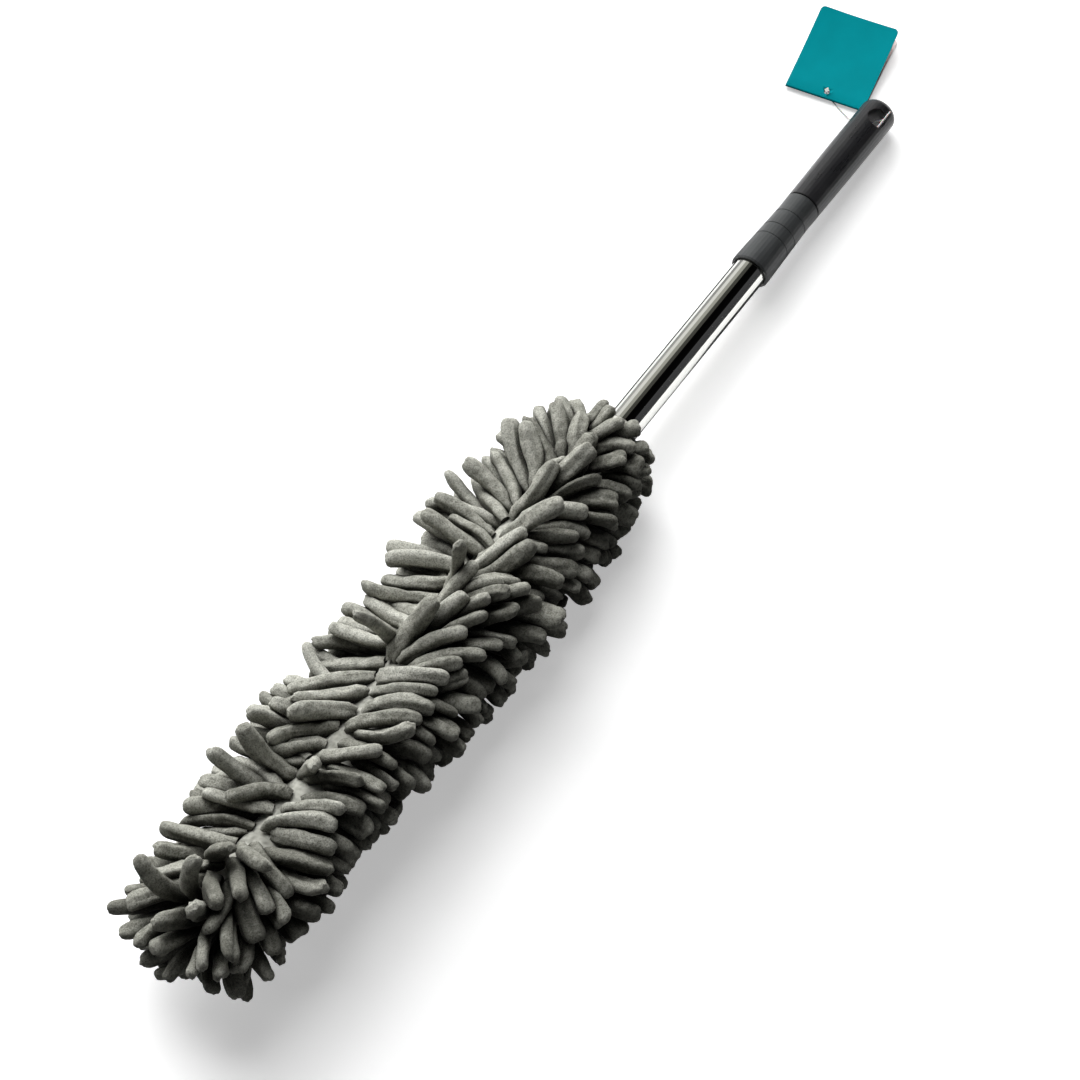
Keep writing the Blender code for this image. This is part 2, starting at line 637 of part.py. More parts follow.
def finger_corner(angle, station, length, lean, share, half_width, side_sign, end_sign):
    """One corner of a finger's section at a share of its length. A finger that stands
    out little bends little, so that it keeps clear of its neighbours."""
    bend = (share * reach_share(angle)) ** 2
    radius = SLEEVE_RADIUS + length * share
    turn = angle + (tip_angle(angle) - angle) * bend + lean * bend / radius
    middle = around(radius, turn, station + tip_lean(angle, station) * bend)
    side = Vector((-math.sin(turn), math.cos(turn), 0.0)) * half_width * side_sign
    along = Vector((0.0, 0.0, half_width * end_sign))
    return press_down(middle + side + along)


def finger_sections():
    """Share of the length and half the width at the shoulder and at the tip."""
    return ((FINGER_SHOULDER_SHARE, FINGER_WIDTH / 2.0), (1.0, FINGER_TIP_WIDTH / 2.0))


def grow_finger(solid, face, angle, station, rng):
    """Extrude one cell of the backing into a finger with a blunt tip."""
    length = FINGER_LENGTH + FINGER_FAR_EXTRA * math.cos(angle - FINGER_FAR_TURN)
    length += FINGER_SPREAD * rng.uniform(-1.0, 1.0)
    length *= reach_share(angle)
    lean = FINGER_LEAN * rng.uniform(-1.0, 1.0)
    tangent = Vector((-math.sin(angle), math.cos(angle), 0.0))
    middle = face.calc_center_median()
    signs = [(math.copysign(1.0, (vertex.co - middle).dot(tangent)),
              math.copysign(1.0, vertex.co.z - middle.z)) for vertex in face.verts]
    for share, half_width in finger_sections():
        face = bmesh.ops.extrude_discrete_faces(solid, faces=[face])["faces"][0]
        for vertex, sign in zip(face.verts, signs):
            vertex.co = finger_corner(angle, station, length, lean, share, half_width, *sign)


def make_sleeve_slice(axis, index):
    """One slice of the knitted backing with a finger on every other cell."""
    start = SLEEVE_START + SLICE_LENGTH * index
    stations = [start + ROW_PITCH * row for row in range(SLICE_ROWS + 1)]
    stations[0] += FIT_GAP / 2.0
    stations[-1] -= FIT_GAP / 2.0
    outline = [(station, SLEEVE_RADIUS) for station in stations]
    outline += [(stations[-1], SLEEVE_BORE), (stations[0], SLEEVE_BORE)]
    solid = turned(outline, SLEEVE_COLUMNS)
    solid.normal_update()
    rng = random.Random(SEED + index)
    cells = []
    for face in solid.faces:
        middle = face.calc_center_median()
        if middle.xy.length < SLEEVE_BORE or abs(face.normal.z) > face.normal.xy.length:
            continue
        row = int((middle.z - start) / ROW_PITCH)
        column = math.floor(math.atan2(middle.y, middle.x) * SLEEVE_COLUMNS / TURN)
        if (row + column + index * SLICE_ROWS) % 2 == 0:
            cells.append((row, column, face))
    for row, column, face in sorted(cells, key=lambda cell: cell[:2]):
        angle = (column + 0.5) * TURN / SLEEVE_COLUMNS
        grow_finger(solid, face, angle, start + ROW_PITCH * (row + 0.5), rng)
    piece("noodle_sleeve_%02d" % (index + 1), solid, "chenille", axis)


def dome_outline(radius, depth, start):
    """Profile of the sleeve's end, from its rim towards its tip."""
    return [(start + depth * math.sin(QUARTER * share), radius * math.cos(QUARTER * share))
            for share in END_DOME_TURN_SHARES]


def make_sleeve_tip(axis):
    """The sleeve's sewn end: a dome with fingers that point forwards."""
    start = SLEEVE_END + FIT_GAP / 2.0
    outer = dome_outline(SLEEVE_RADIUS, END_DOME_DEPTH, start)
    inner = dome_outline(SLEEVE_BORE, END_DOME_DEPTH - SLEEVE_WALL, start)
    outline = [(start + END_DOME_DEPTH - SLEEVE_WALL, 0.0)] + inner[::-1] + outer
    outline += [(start + END_DOME_DEPTH, 0.0)]
    solid = turned(outline, END_DOME_COLUMNS, closed=False)
    bmesh.ops.recalc_face_normals(solid, faces=solid.faces)
    rng = random.Random(SEED + SLICE_COUNT)
    cells = []
    for face in solid.faces:
        middle = face.calc_center_median()
        column = math.floor(math.atan2(middle.y, middle.x) * END_DOME_COLUMNS / TURN)
        for row, (near, far) in enumerate(zip(outer, outer[1:])):
            inside = near[0] < middle.z < far[0] and face.normal.z > 0.0
            if inside and (column + row) % 2 == 0:
                cells.append((row, column, face))
    for row, column, face in sorted(cells, key=lambda cell: cell[:2]):
        grow_end_finger(solid, face, FINGER_END_FORWARD_SHARES[row], rng)
    piece("noodle_sleeve_tip", solid, "chenille", axis)


def grow_end_finger(solid, face, forward_share, rng):
    """Extrude one cell of the dome into a finger that leans forwards."""
    aim = (face.normal + Vector((0.0, 0.0, forward_share))).normalized()
    length = FINGER_END_LENGTH + FINGER_SPREAD * rng.uniform(-1.0, 1.0)
    root = face.calc_center_median()
    offsets = [(vertex.co - root).normalized() for vertex in face.verts]
    for share, half_width in finger_sections():
        face = bmesh.ops.extrude_discrete_faces(solid, faces=[face])["faces"][0]
        for vertex, offset in zip(face.verts, offsets):
            corner = offset * half_width * math.sqrt(2.0)
            vertex.co = press_down(root + aim * length * share + corner)


# Card tag

def fold_arc(radius):
    """Points round the fold, from the lower leaf to the upper one."""
    sweep = TURN / 2.0 - CARD_OPENING
    centre = CARD_FOLD_RADIUS + CARD_THICKNESS
    turns = [sweep * step / CARD_FOLD_STEPS for step in range(CARD_FOLD_STEPS + 1)]
    return [(centre - radius * math.sin(turn), centre - radius * math.cos(turn))
            for turn in turns]


def card_outline():
    """Section across the fold: lower leaf flat, upper leaf opened."""
    outer = fold_arc(CARD_FOLD_RADIUS + CARD_THICKNESS)
    inner = fold_arc(CARD_FOLD_RADIUS)
    leaf = CARD_LEAF - CARD_FOLD_RADIUS - CARD_THICKNESS
    reach = (leaf * math.cos(CARD_OPENING), leaf * math.sin(CARD_OPENING))
    upper = [(inner[-1][0] + reach[0], inner[-1][1] + reach[1]),
             (outer[-1][0] + reach[0], outer[-1][1] + reach[1])]
    return [(CARD_LEAF, 0.0), (CARD_LEAF, CARD_THICKNESS)] + inner + upper + outer[::-1]


def is_card_corner(edge):
    """True for the short edges through the card at its leaves' free corners."""
    first, second = (vertex.co for vertex in edge.verts)
    middle = (first + second) / 2.0
    at_end = middle.x > CARD_LEAF / 2.0
    across_leaf = (second - first).length < CARD_THICKNESS * 2.0
    return at_end and across_leaf


def card_place():
    """Where the card lies: beside the grip's end, its free edge on the ground."""
    pitch = math.asin(CARD_FOLD_HEIGHT / CARD_LEAF)
    side = GRIP_RADIUS + CARD_SIDE_GAP + CARD_WIDTH / 2.0 * math.cos(CARD_TURN)
    place = Matrix.Translation((-CARD_END_OVERLAP, side, CARD_FOLD_HEIGHT))
    return place @ Matrix.Rotation(CARD_TURN, 4, "Z") @ Matrix.Rotation(pitch, 4, "Y")


def make_card(tag_axis, place):
    """Folded card with two leaves, rounded corners and a punched hole."""
    solid = bmesh.new()
    edge = [solid.verts.new((x, -CARD_WIDTH / 2.0, z)) for x, z in card_outline()]
    made = bmesh.ops.extrude_face_region(solid, geom=[solid.faces.new(edge)])
    moved = [item for item in made["geom"] if isinstance(item, bmesh.types.BMVert)]
    bmesh.ops.translate(solid, vec=(0.0, CARD_WIDTH, 0.0), verts=moved)
    corners = [edge for edge in solid.edges if is_card_corner(edge)]
    bmesh.ops.bevel(solid, geom=corners, offset=CARD_CORNER, segments=3, profile=0.5,
                    affect="EDGES")
    card = piece("hang_tag", solid, "teal_card", tag_axis, place)
    punch = guide("punch_cutter", round_bar(CARD_LEAF, PUNCH_RADIUS, SMALL_STEPS // 2),
                  tag_axis, place @ Matrix.Translation((PUNCH_INSET, 0.0, 0.0)))
    combine(card, punch)


def pin_exit():
    """Where the pin leaves the hang hole over its lower rim, and the tag swings."""
    rim = HANG_HOLE_RADIUS - PIN_RADIUS - FIT_GAP
    sideways = math.asin(rim * math.cos(PIN_EXIT_TURN) / GRIP_RADIUS)
    angle = TURN / 2.0 - HANG_HOLE_TURN - sideways
    station = HANG_HOLE_STATION - rim * math.sin(PIN_EXIT_TURN)
    return around(GRIP_RADIUS + FIT_GAP + PIN_RADIUS, angle, station)


def make_pin_bar(axis):
    """Bar across the hang hole's upper mouth and the strand down through the hole."""
    radius = GRIP_RADIUS + FIT_GAP + PIN_BAR_RADIUS
    station = HANG_HOLE_STATION - PIN_BAR_SHIFT
    half = PIN_BAR_LENGTH / 2.0
    ends = [around(radius, PIN_BAR_TURN, station - half),
            around(radius, PIN_BAR_TURN, station + half)]
    bar = piece("tag_pin_bar", strand(ends, PIN_BAR_RADIUS), "nylon", axis)
    leave = pin_exit()
    middle = around(0.0, 0.0, (station + leave.z) / 2.0)
    under_bar = around(GRIP_RADIUS - PIN_BAR_RADIUS, PIN_BAR_TURN, station)
    last = leave - (leave - middle).normalized() * FIT_GAP
    route = [around(radius, PIN_BAR_TURN, station), under_bar,
             under_bar.lerp(middle, 0.4) - Vector((PIN_BAR_RADIUS, 0.0, 0.0)), middle, last]
    combine(bar, guide("pin_strand_guide", strand(route, PIN_RADIUS), axis), "UNION")


def make_pin_tail(tag_axis, place):
    """Strand from the hang hole under the card, up through it, and its paddle."""
    hole = place @ Vector((PUNCH_INSET, 0.0, 0.0))
    lowest = PIN_RADIUS + FIT_GAP / 2.0 - tag_axis.location.z
    level = Vector((hole.x, hole.y, 0.0)).normalized()
    turn_start = Vector((hole.x, hole.y, lowest)) - level * PIN_BEND_RADIUS
    route = [level * FIT_GAP]
    for along_share, height_share in ((0.12, 0.62), (0.3, 0.22), (0.5, 0.0)):
        point = turn_start * along_share
        point.z = lowest * (1.0 - height_share)
        route.append(point)
    route.append(turn_start)
    for step in (1, 2, 3, 4):
        turn = QUARTER * step / 4
        rise = Vector((0.0, 0.0, PIN_BEND_RADIUS * (1.0 - math.cos(turn))))
        route.append(turn_start + level * PIN_BEND_RADIUS * math.sin(turn) + rise)
    leaf = Matrix.Rotation(-CARD_OPENING, 4, "Y")
    fold = (CARD_FOLD_RADIUS + CARD_THICKNESS) * 2.0 + PUNCH_INSET * math.sin(CARD_OPENING)
    seat = place @ Matrix.Translation((PUNCH_INSET, 0.0, fold + FIT_GAP + PADDLE_THICKNESS))
    route.append(Vector((route[-1].x, route[-1].y, seat.translation.z)))
    tail = piece("tag_pin_tail", strand(route, PIN_RADIUS), "nylon", tag_axis)
    paddle = bmesh.new()
    bmesh.ops.create_cone(paddle, cap_ends=True, segments=4, radius1=PADDLE_LENGTH / 2.0,
                          radius2=PADDLE_LENGTH / 2.0, depth=PADDLE_THICKNESS)
    bmesh.ops.scale(paddle, vec=(1.0, PADDLE_WIDTH / PADDLE_LENGTH, 1.0), verts=paddle.verts)
    combine(tail, guide("paddle_guide", paddle, tag_axis, seat @ leaf), "UNION")


# Whole object

def stand_on_origin(root):
    """Move the whole duster so that its box is centred over the origin."""
    depsgraph = bpy.context.evaluated_depsgraph_get()
    corners = []
    for obj in bpy.context.scene.objects:
        if obj.type == "MESH" and not obj.hide_render:
            solid = obj.evaluated_get(depsgraph)
            corners += [solid.matrix_world @ vertex.co for vertex in solid.data.vertices]
    for side in (0, 1):
        values = [corner[side] for corner in corners]
        root.location[side] = -(min(values) + max(values)) / 2.0


def build():
    """Make every piece of the duster."""
    for obj in list(bpy.data.objects):
        bpy.data.objects.remove(obj, do_unlink=True)
    root = empty("duster")
    axis = empty("duster_axis", root, lying())
    cam_axis = empty("cam_ring_axis", axis, Matrix.Translation((LOCK_OFFSET, 0.0, 0.0)))
    tag_place = Matrix.Translation(lying() @ pin_exit())
    tag_axis = empty("tag_hinge", root, tag_place)
    pin_hole = guide("plug_pin_cutter",
                     round_bar((INNER_TUBE_RADIUS + CUT_OVERRUN) * 2.0,
                               PLUG_PIN_RADIUS + FIT_GAP),
                     axis, across(INNER_TUBE_START + PLUG_PIN_INSET))
    rivet_hole = guide("rivet_cutter",
                       round_bar((SOCKET_NECK_RADIUS + CUT_OVERRUN) * 2.0,
                                 RIVET_RADIUS + FIT_GAP), axis, across(RIVET_STATION))
    make_grip(axis)
    make_collar(axis)
    make_outer_tube(axis)
    make_guide_ring(axis)
    make_lock_plug(axis, cam_axis, pin_hole)
    make_cam_ring(cam_axis)
    make_lock_ends(axis)
    make_inner_tube(axis, pin_hole, rivet_hole)
    make_head_socket(axis, rivet_hole)
    make_rivet(axis)
    make_core(axis)
    make_hem(axis)
    for index in range(SLICE_COUNT):
        make_sleeve_slice(axis, index)
    make_sleeve_tip(axis)
    place = tag_place.inverted() @ card_place()
    make_card(tag_axis, place)
    make_pin_bar(axis)
    make_pin_tail(tag_axis, place)
    stand_on_origin(root)


build()
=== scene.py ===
# %% [markdown]
# # A microfiber duster, built in cells
# The real object is a telescopic duster: a black grip, a grey collar, a chromed tube and a
# long head of thick chenille fingers, with a folded card tag beside the grip. The hard
# parts come from CAD as a fixed frame. Blender adds what CAD leaves out: the soft head,
# the finishes, the light and the camera.

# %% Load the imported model
import json
import math

import bmesh
import bpy
import numpy as np
from mathutils import Matrix, Vector


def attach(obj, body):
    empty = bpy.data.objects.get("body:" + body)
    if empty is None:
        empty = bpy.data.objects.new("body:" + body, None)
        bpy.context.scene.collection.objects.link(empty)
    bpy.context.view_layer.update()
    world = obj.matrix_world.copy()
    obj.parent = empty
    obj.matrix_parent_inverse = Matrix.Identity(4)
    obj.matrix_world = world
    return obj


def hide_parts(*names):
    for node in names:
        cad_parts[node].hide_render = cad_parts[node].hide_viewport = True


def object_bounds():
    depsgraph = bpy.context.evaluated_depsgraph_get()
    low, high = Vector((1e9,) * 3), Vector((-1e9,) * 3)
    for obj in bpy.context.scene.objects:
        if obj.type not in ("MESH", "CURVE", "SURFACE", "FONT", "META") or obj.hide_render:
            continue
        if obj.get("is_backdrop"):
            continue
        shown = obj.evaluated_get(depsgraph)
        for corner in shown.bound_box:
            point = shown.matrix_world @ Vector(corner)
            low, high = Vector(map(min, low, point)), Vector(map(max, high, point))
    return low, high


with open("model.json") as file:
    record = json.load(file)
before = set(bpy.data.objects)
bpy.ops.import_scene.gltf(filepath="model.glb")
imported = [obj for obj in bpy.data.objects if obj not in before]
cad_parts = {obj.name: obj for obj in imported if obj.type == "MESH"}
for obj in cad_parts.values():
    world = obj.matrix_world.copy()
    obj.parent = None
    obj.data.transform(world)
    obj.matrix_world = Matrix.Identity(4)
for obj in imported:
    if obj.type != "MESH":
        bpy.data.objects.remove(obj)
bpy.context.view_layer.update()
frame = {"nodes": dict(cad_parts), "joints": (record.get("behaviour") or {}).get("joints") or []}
nodes = frame["nodes"]

# %% [markdown]
# ## The duster's own directions
# The duster lies a little tilted: its grip touches the ground and its head stands on its
# fingers. Sizes along it are easy to give as a station from the grip's end, so one matrix
# turns (up, far side, station) into places in the frame. It is read from the twist lock's
# joint, whose axis is the duster's own, so that it can never drift from the CAD. The
# stations and radii below are where the tube ends and where the soft sleeve begins.

# %% The duster's axis
MM = 0.001
lock = next(joint for joint in frame["joints"] if joint["name"] == "twist_lock")
ahead = Vector(lock["axis"]).normalized()
far_side = Vector((0.0, 1.0, 0.0))
upward = far_side.cross(ahead)
LAY = Matrix((upward, far_side, ahead)).transposed().to_4x4()
LAY.translation = Vector(lock["pos_m"])
LAY_ARRAY = np.array(LAY)
TURN = math.tau

SLEEVE_START = 283.6 * MM
SLEEVE_END = 613.2 * MM
SLEEVE_RADIUS = 16.5 * MM
SLEEVE_WALL = 1.5 * MM
DOME_DEPTH = 13.0 * MM
TUBE_RADIUS = 9.5 * MM
TUBE_END = 270.3 * MM


def to_frame(points):
    """Places given as (up, far side, station) rows, in the frame's own axes."""
    return points @ LAY_ARRAY[:3, :3].T + LAY_ARRAY[:3, 3]


print("axis starts at", [round(v, 4) for v in LAY.translation])

# %% [markdown]
# ## Camera
# The photograph was taken from above the near side with a long lens, so the tube hardly
# tapers. The camera's place and lens were solved from the tube's two ends, the head's tip
# and the card's corners. A long lens far away gives the same flat perspective.

# %% Camera
CAMERA_PLACE = Vector((-0.8481, -0.5410, 1.5593))
CAMERA_AIM = Vector((0.4419, 0.2925, -0.8480))
CAMERA_LENS = 118.67
SENSOR_WIDTH = 36.0

camera_data = bpy.data.cameras.new("camera")
camera_data.lens = CAMERA_LENS
camera_data.sensor_width = SENSOR_WIDTH
camera = bpy.data.objects.new("camera", camera_data)
camera.location = CAMERA_PLACE
camera.rotation_euler = CAMERA_AIM.to_track_quat("-Z", "Y").to_euler()
bpy.context.scene.collection.objects.link(camera)
bpy.context.scene.camera = camera
print("camera", CAMERA_LENS, "mm")

# %% [markdown]
# ## Colours and nodes
# A material is a small graph. A few helpers keep it readable. One turns a hex colour, as a
# painter would write it, into the linear values that shaders need. One sets or links the
# inputs of a node, and one adds a node with its settings, inputs and ramp stops in a
# single line. Kinds of node that come up often have a short name.

# %% Helpers for materials
NOISE, RAMP, BUMP = "ShaderNodeTexNoise", "ShaderNodeValToRGB", "ShaderNodeBump"
MATH, RANGE, MAPPING = "ShaderNodeMath", "ShaderNodeMapRange", "ShaderNodeMapping"


def colour(code):
    """Linear colour of an sRGB hex code."""
    shares = [int(code[i:i + 2], 16) / 255.0 for i in (1, 3, 5)]
    return (*[s / 12.92 if s <= 0.04045 else ((s + 0.055) / 1.055) ** 2.4 for s in shares],
            1.0)


def feed(node, inputs):
    """Set or link a node's inputs. A node given as a value means its first output."""
    for name, value in inputs.items():
        if isinstance(value, bpy.types.Node):
            value = value.outputs[0]
        if isinstance(value, bpy.types.NodeSocket):
            node.id_data.links.new(value, node.inputs[name])
        else:
            node.inputs[name].default_value = value


def add(tree, kind, inputs=None, stops=(), **settings):
    """Add a node with its settings, its inputs and the stops of its colour ramp."""
    node = tree.nodes.new(kind)
    for name, value in settings.items():
        setattr(node, name, value)
    feed(node, inputs or {})
    if stops:
        elements = node.color_ramp.elements
        elements[0].position, elements[-1].position = stops[0][0], stops[-1][0]
        for place, _ in stops[1:-1]:
            elements.new(place)
        for element, (_, code) in zip(elements, stops):
            element.color = colour(code)
    return node


def emptied(owner):
    """The node tree of a material or a world, without the nodes that it starts with."""
    owner.use_nodes = True
    owner.node_tree.nodes.clear()
    return owner.node_tree


def surface(name, inputs):
    """A material with one Principled shader, its tree, the shader and Object coordinates."""
    material = bpy.data.materials.new(name)
    tree = emptied(material)
    shader = add(tree, "ShaderNodeBsdfPrincipled", inputs)
    add(tree, "ShaderNodeOutputMaterial", {"Surface": shader})
    return material, tree, shader, add(tree, "ShaderNodeTexCoord").outputs["Object"]


print("white is", colour("#ffffff"))

# %% [markdown]
# ## Floor and light
# The duster lies on white paper. One very large soft light hangs nearly overhead, so the
# shadow is short and fades within a hand's width. A second, wider one stands lower on the
# far side, towards the grip: it lights the far side and the upper edge of every finger, and
# leaves the near side dark. Sun lamps with a wide angle are such lights, as bright at the
# head as at the grip. Neither shows in the metal, whose stripes all come from the card
# below. The paper looks white to the camera and to the metal, helped by a faint glow of its
# own, but sends little light back up.

# %% Paper floor
PAPER_GLOW = 0.43
FLOOR_HALF = 30.0
SEEN = ("Is Camera Ray", "Is Glossy Ray", "Is Transmission Ray")


def seen_by(tree, rays):
    """1 for the kinds of ray that are named, and 0 for the others."""
    path = add(tree, "ShaderNodeLightPath")
    total = path.outputs[rays[0]]
    for name in rays[1:]:
        total = add(tree, MATH, {0: total, 1: path.outputs[name]}, operation="MAXIMUM")
    return total


paper = bpy.data.materials.new("white_paper")
tree = emptied(paper)
white = add(tree, "ShaderNodeBsdfDiffuse", {"Color": colour("#fdfdfd")})
glow = add(tree, "ShaderNodeEmission", {"Color": colour("#ffffff"), "Strength": PAPER_GLOW})
seen = add(tree, "ShaderNodeAddShader", {0: white, 1: glow})
bounce = add(tree, "ShaderNodeBsdfDiffuse", {"Color": colour("#707070")})
mixed = add(tree, "ShaderNodeMixShader", {0: seen_by(tree, SEEN), 1: bounce, 2: seen})
add(tree, "ShaderNodeOutputMaterial", {"Surface": mixed})

floor_mesh = bpy.data.meshes.new("floor")
corners = [(x * FLOOR_HALF, y * FLOOR_HALF, 0.0)
           for x, y in ((-1, -1), (1, -1), (1, 1), (-1, 1))]
floor_mesh.from_pydata(corners, [], [(0, 1, 2, 3)])
floor_mesh.materials.append(paper)
floor = bpy.data.objects.new("floor", floor_mesh)
bpy.context.scene.collection.objects.link(floor)
floor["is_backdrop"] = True
print("floor is", 2.0 * FLOOR_HALF, "m wide")

# %% Lamps and world
LIGHTS = {"overhead": (Vector((0.34, 0.38, 0.86)), math.radians(46.0), 1.55),
          "far_side": (Vector((0.50, 0.77, 0.40)), math.radians(60.0), 3.4)}
AMBIENT = 0.04

for name, (place, size, strength) in LIGHTS.items():
    lamp_data = bpy.data.lights.new(name, "SUN")
    lamp_data.energy, lamp_data.angle = strength, size
    lamp = bpy.data.objects.new(name, lamp_data)
    lamp.rotation_euler = place.to_track_quat("Z", "Y").to_euler()
    lamp.visible_glossy = False
    bpy.context.scene.collection.objects.link(lamp)

world = bpy.data.worlds.new("studio")
bpy.context.scene.world = world
tree = emptied(world)
around_it = add(tree, "ShaderNodeBackground", {"Color": colour("#ffffff"),
                                               "Strength": AMBIENT})
backdrop = add(tree, "ShaderNodeBackground", {"Color": colour("#ffffff"), "Strength": 1.0})
mixed = add(tree, "ShaderNodeMixShader", {0: seen_by(tree, SEEN), 1: around_it, 2: backdrop})
add(tree, "ShaderNodeOutputWorld", {"Surface": mixed})

bpy.context.scene.view_settings.view_transform = "Standard"
on_floor = sum(place.normalized().z * strength for place, _, strength in LIGHTS.values())
print("light on the floor:", round(on_floor / math.pi + AMBIENT, 2))

# %% [markdown]
# ## The dark card over the tube
# Chrome has no colour of its own. It shows what stands round it, and in the photograph
# that is a dark studio above the near side, as one broad black stripe with a grey one
# beside it. Photographers make such stripes with black card, and outline chrome against
# white paper with narrow dark strips laid beside it. Here a bent card hangs over the
# duster and two strips lie along the tube. All are seen by reflections only. A band's
# place on the bent card decides where its stripe runs on the tube, so the bands are given
# as angles from straight up, and follow from where the stripes lie across the tube.

# %% Card seen by reflections
BENT_RADIUS = 3.0
BENT_REACH = 16.0
BENT_STEPS = 28
BANDS = ((-88.0, "#3a3a3c"), (-72.0, "#4c4c4e"), (-54.0, "#3e3e40"), (-42.0, "#060606"),
         (1.0, "#020202"), (8.0, "#3c3c38"), (16.0, "#8c8c84"), (22.0, "#54544e"),
         (29.0, "#a6a69e"), (48.0, "#bcbcb4"), (58.0, "#fbfbf8"), (76.0, "#fbfbf8"),
         (79.0, "#404040"), (88.0, "#303030"))
STRIP_SIDES = ((30.0 * MM, 75.0 * MM), (-22.0 * MM, -9.0 * MM))
STRIP_ENDS = (-0.1, 0.2)
STRIP_LIFT = 1.0 * MM


def bent(degrees):
    """A point on the bent card, at an angle from up towards the far side."""
    turn = math.radians(degrees)
    return BENT_RADIUS * math.sin(turn), BENT_RADIUS * math.cos(turn)


steps = np.linspace(BANDS[0][0], BANDS[-1][0], BENT_STEPS)
places = [(x, *bent(step)) for x in (-BENT_REACH, BENT_REACH) for step in steps]
faces = [(i, i + 1, i + 1 + BENT_STEPS, i + BENT_STEPS) for i in range(BENT_STEPS - 1)]
start, end = STRIP_ENDS
for low, high in STRIP_SIDES:
    faces.append(tuple(len(places) + i for i in range(4)))
    places += [(x, LAY.translation.y + y, STRIP_LIFT) for x, y in
               ((start, low), (end, low), (end, high), (start, high))]
bent_mesh = bpy.data.meshes.new("dark_card")
bent_mesh.from_pydata(places, [], faces)
dark = bpy.data.materials.new("black_card")
tree = emptied(dark)
place = add(tree, "ShaderNodeSeparateXYZ",
            {0: add(tree, "ShaderNodeTexCoord").outputs["Object"]})
angle = add(tree, MATH, {0: place.outputs["Y"], 1: place.outputs["Z"]}, operation="ARCTAN2")
first, last = (math.radians(BANDS[i][0]) for i in (0, -1))
share = add(tree, RANGE, {"Value": angle, "From Min": first, "From Max": last})
tone = add(tree, RAMP, {"Fac": share}, [
    ((math.radians(degrees) - first) / (last - first), code) for degrees, code in BANDS])
bands = add(tree, "ShaderNodeEmission", {"Color": tone})
add(tree, "ShaderNodeOutputMaterial", {"Surface": bands})
bent_mesh.materials.append(dark)
dark_card = bpy.data.objects.new("dark_card", bent_mesh)
bpy.context.scene.collection.objects.link(dark_card)
for ray in ("camera", "diffuse", "transmission", "volume_scatter", "shadow"):
    setattr(dark_card, "visible_" + ray, False)
dark_card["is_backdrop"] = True
print("dark card with", len(BANDS), "bands")

# %% [markdown]
# ## Chenille fingers: where they are sewn
# The head is a knitted sleeve with about 440 stuffed chenille fingers in staggered rows.
# Each finger is thick as a pencil and soft, so it lies where its neighbours leave room.
# Placing them by hand would never look pressed together. Instead each finger starts as a
# straight chain of points, combed away from the parting that runs along the head. The
# numbers below say how the real head is sewn and combed, as far as the photograph shows.

# %% Random numbers and directions
SEED = 21
rng = np.random.default_rng(SEED)


def rise(value, low, high):
    """0 below low, 1 above high and a straight line between."""
    return np.clip((value - low) / (high - low), 0.0, 1.0)


def side_directions(angle):
    """Outward and sideways directions at a side angle, as (up, far side, station)."""
    zero = np.zeros_like(angle)
    return (np.stack([np.cos(angle), np.sin(angle), zero], -1),
            np.stack([-np.sin(angle), np.cos(angle), zero], -1))


print("random numbers start from", SEED)

# %% How the head is sewn and combed
COLUMNS = 14
ROWS = 29
ROW_SPREAD = 0.10
COLUMN_SPREAD = 0.12

# How long the fingers are. Spans are in millimetres from the head's start.
NOODLE_LENGTH = 34.5 * MM
START_TAPER = 0.58
START_REACH = 27.0 * MM
END_TAPER = 3.4 * MM
END_SPAN = (130.0, 250.0)
FAR_END_TAPER = 3.5 * MM
FAR_END_SPAN = (190.0, 240.0)
FAR_EXTRA = 7.5 * MM

# Where the fingers crowd, and how they are combed away from the parting.
FAR_TURN = math.radians(66.0)
FAR_CROWD = 0.36
PARTING_TURN = math.radians(34.0)
PARTING_WANDER = math.radians(10.0)
LONG_WAVE = 31.0 * MM
SHORT_WAVE = 9.0 * MM
SHORT_WAVE_SHARE = 0.6
COMB_TILT = math.radians(76.0)
COMB_SPREAD = math.radians(6.0)
FAR_COMB_WIDTH = math.radians(34.0)
NEAR_COMB_WIDTH = math.radians(100.0)
FAR_DRAPE = 0.03
NEAR_DRAPE = 0.15

# How far they lean along the head, in degrees, at millimetres from its start.
FAR_LEANS = ((0, 60, 100, 130, 200, 250, 330), (-54, -42, -20, 8, 22, 6, 24))
NEAR_LEANS = ((0, 40, 90, 150, 200, 260, 330), (-72, -60, -42, -36, -20, -18, 22))
LEAN_SPREAD = 9.0
SWAY = 12.0
SWAY_LENGTH = 19.0 * MM
END_LEAN = 24.0
END_REACH = 30.0 * MM

# Fingers that lie across the parting, and ones that stick out of the order.
CROSSING_SHARE = 0.12
CROSSING_WIDTH = math.radians(22.0)
STRAY_SHARE = 0.05
STRAY_COMB = 0.6
STRAY_SPREAD = math.radians(35.0)

print("rows and columns:", ROWS, "x", COLUMNS)

# %% Fingers round the sleeve


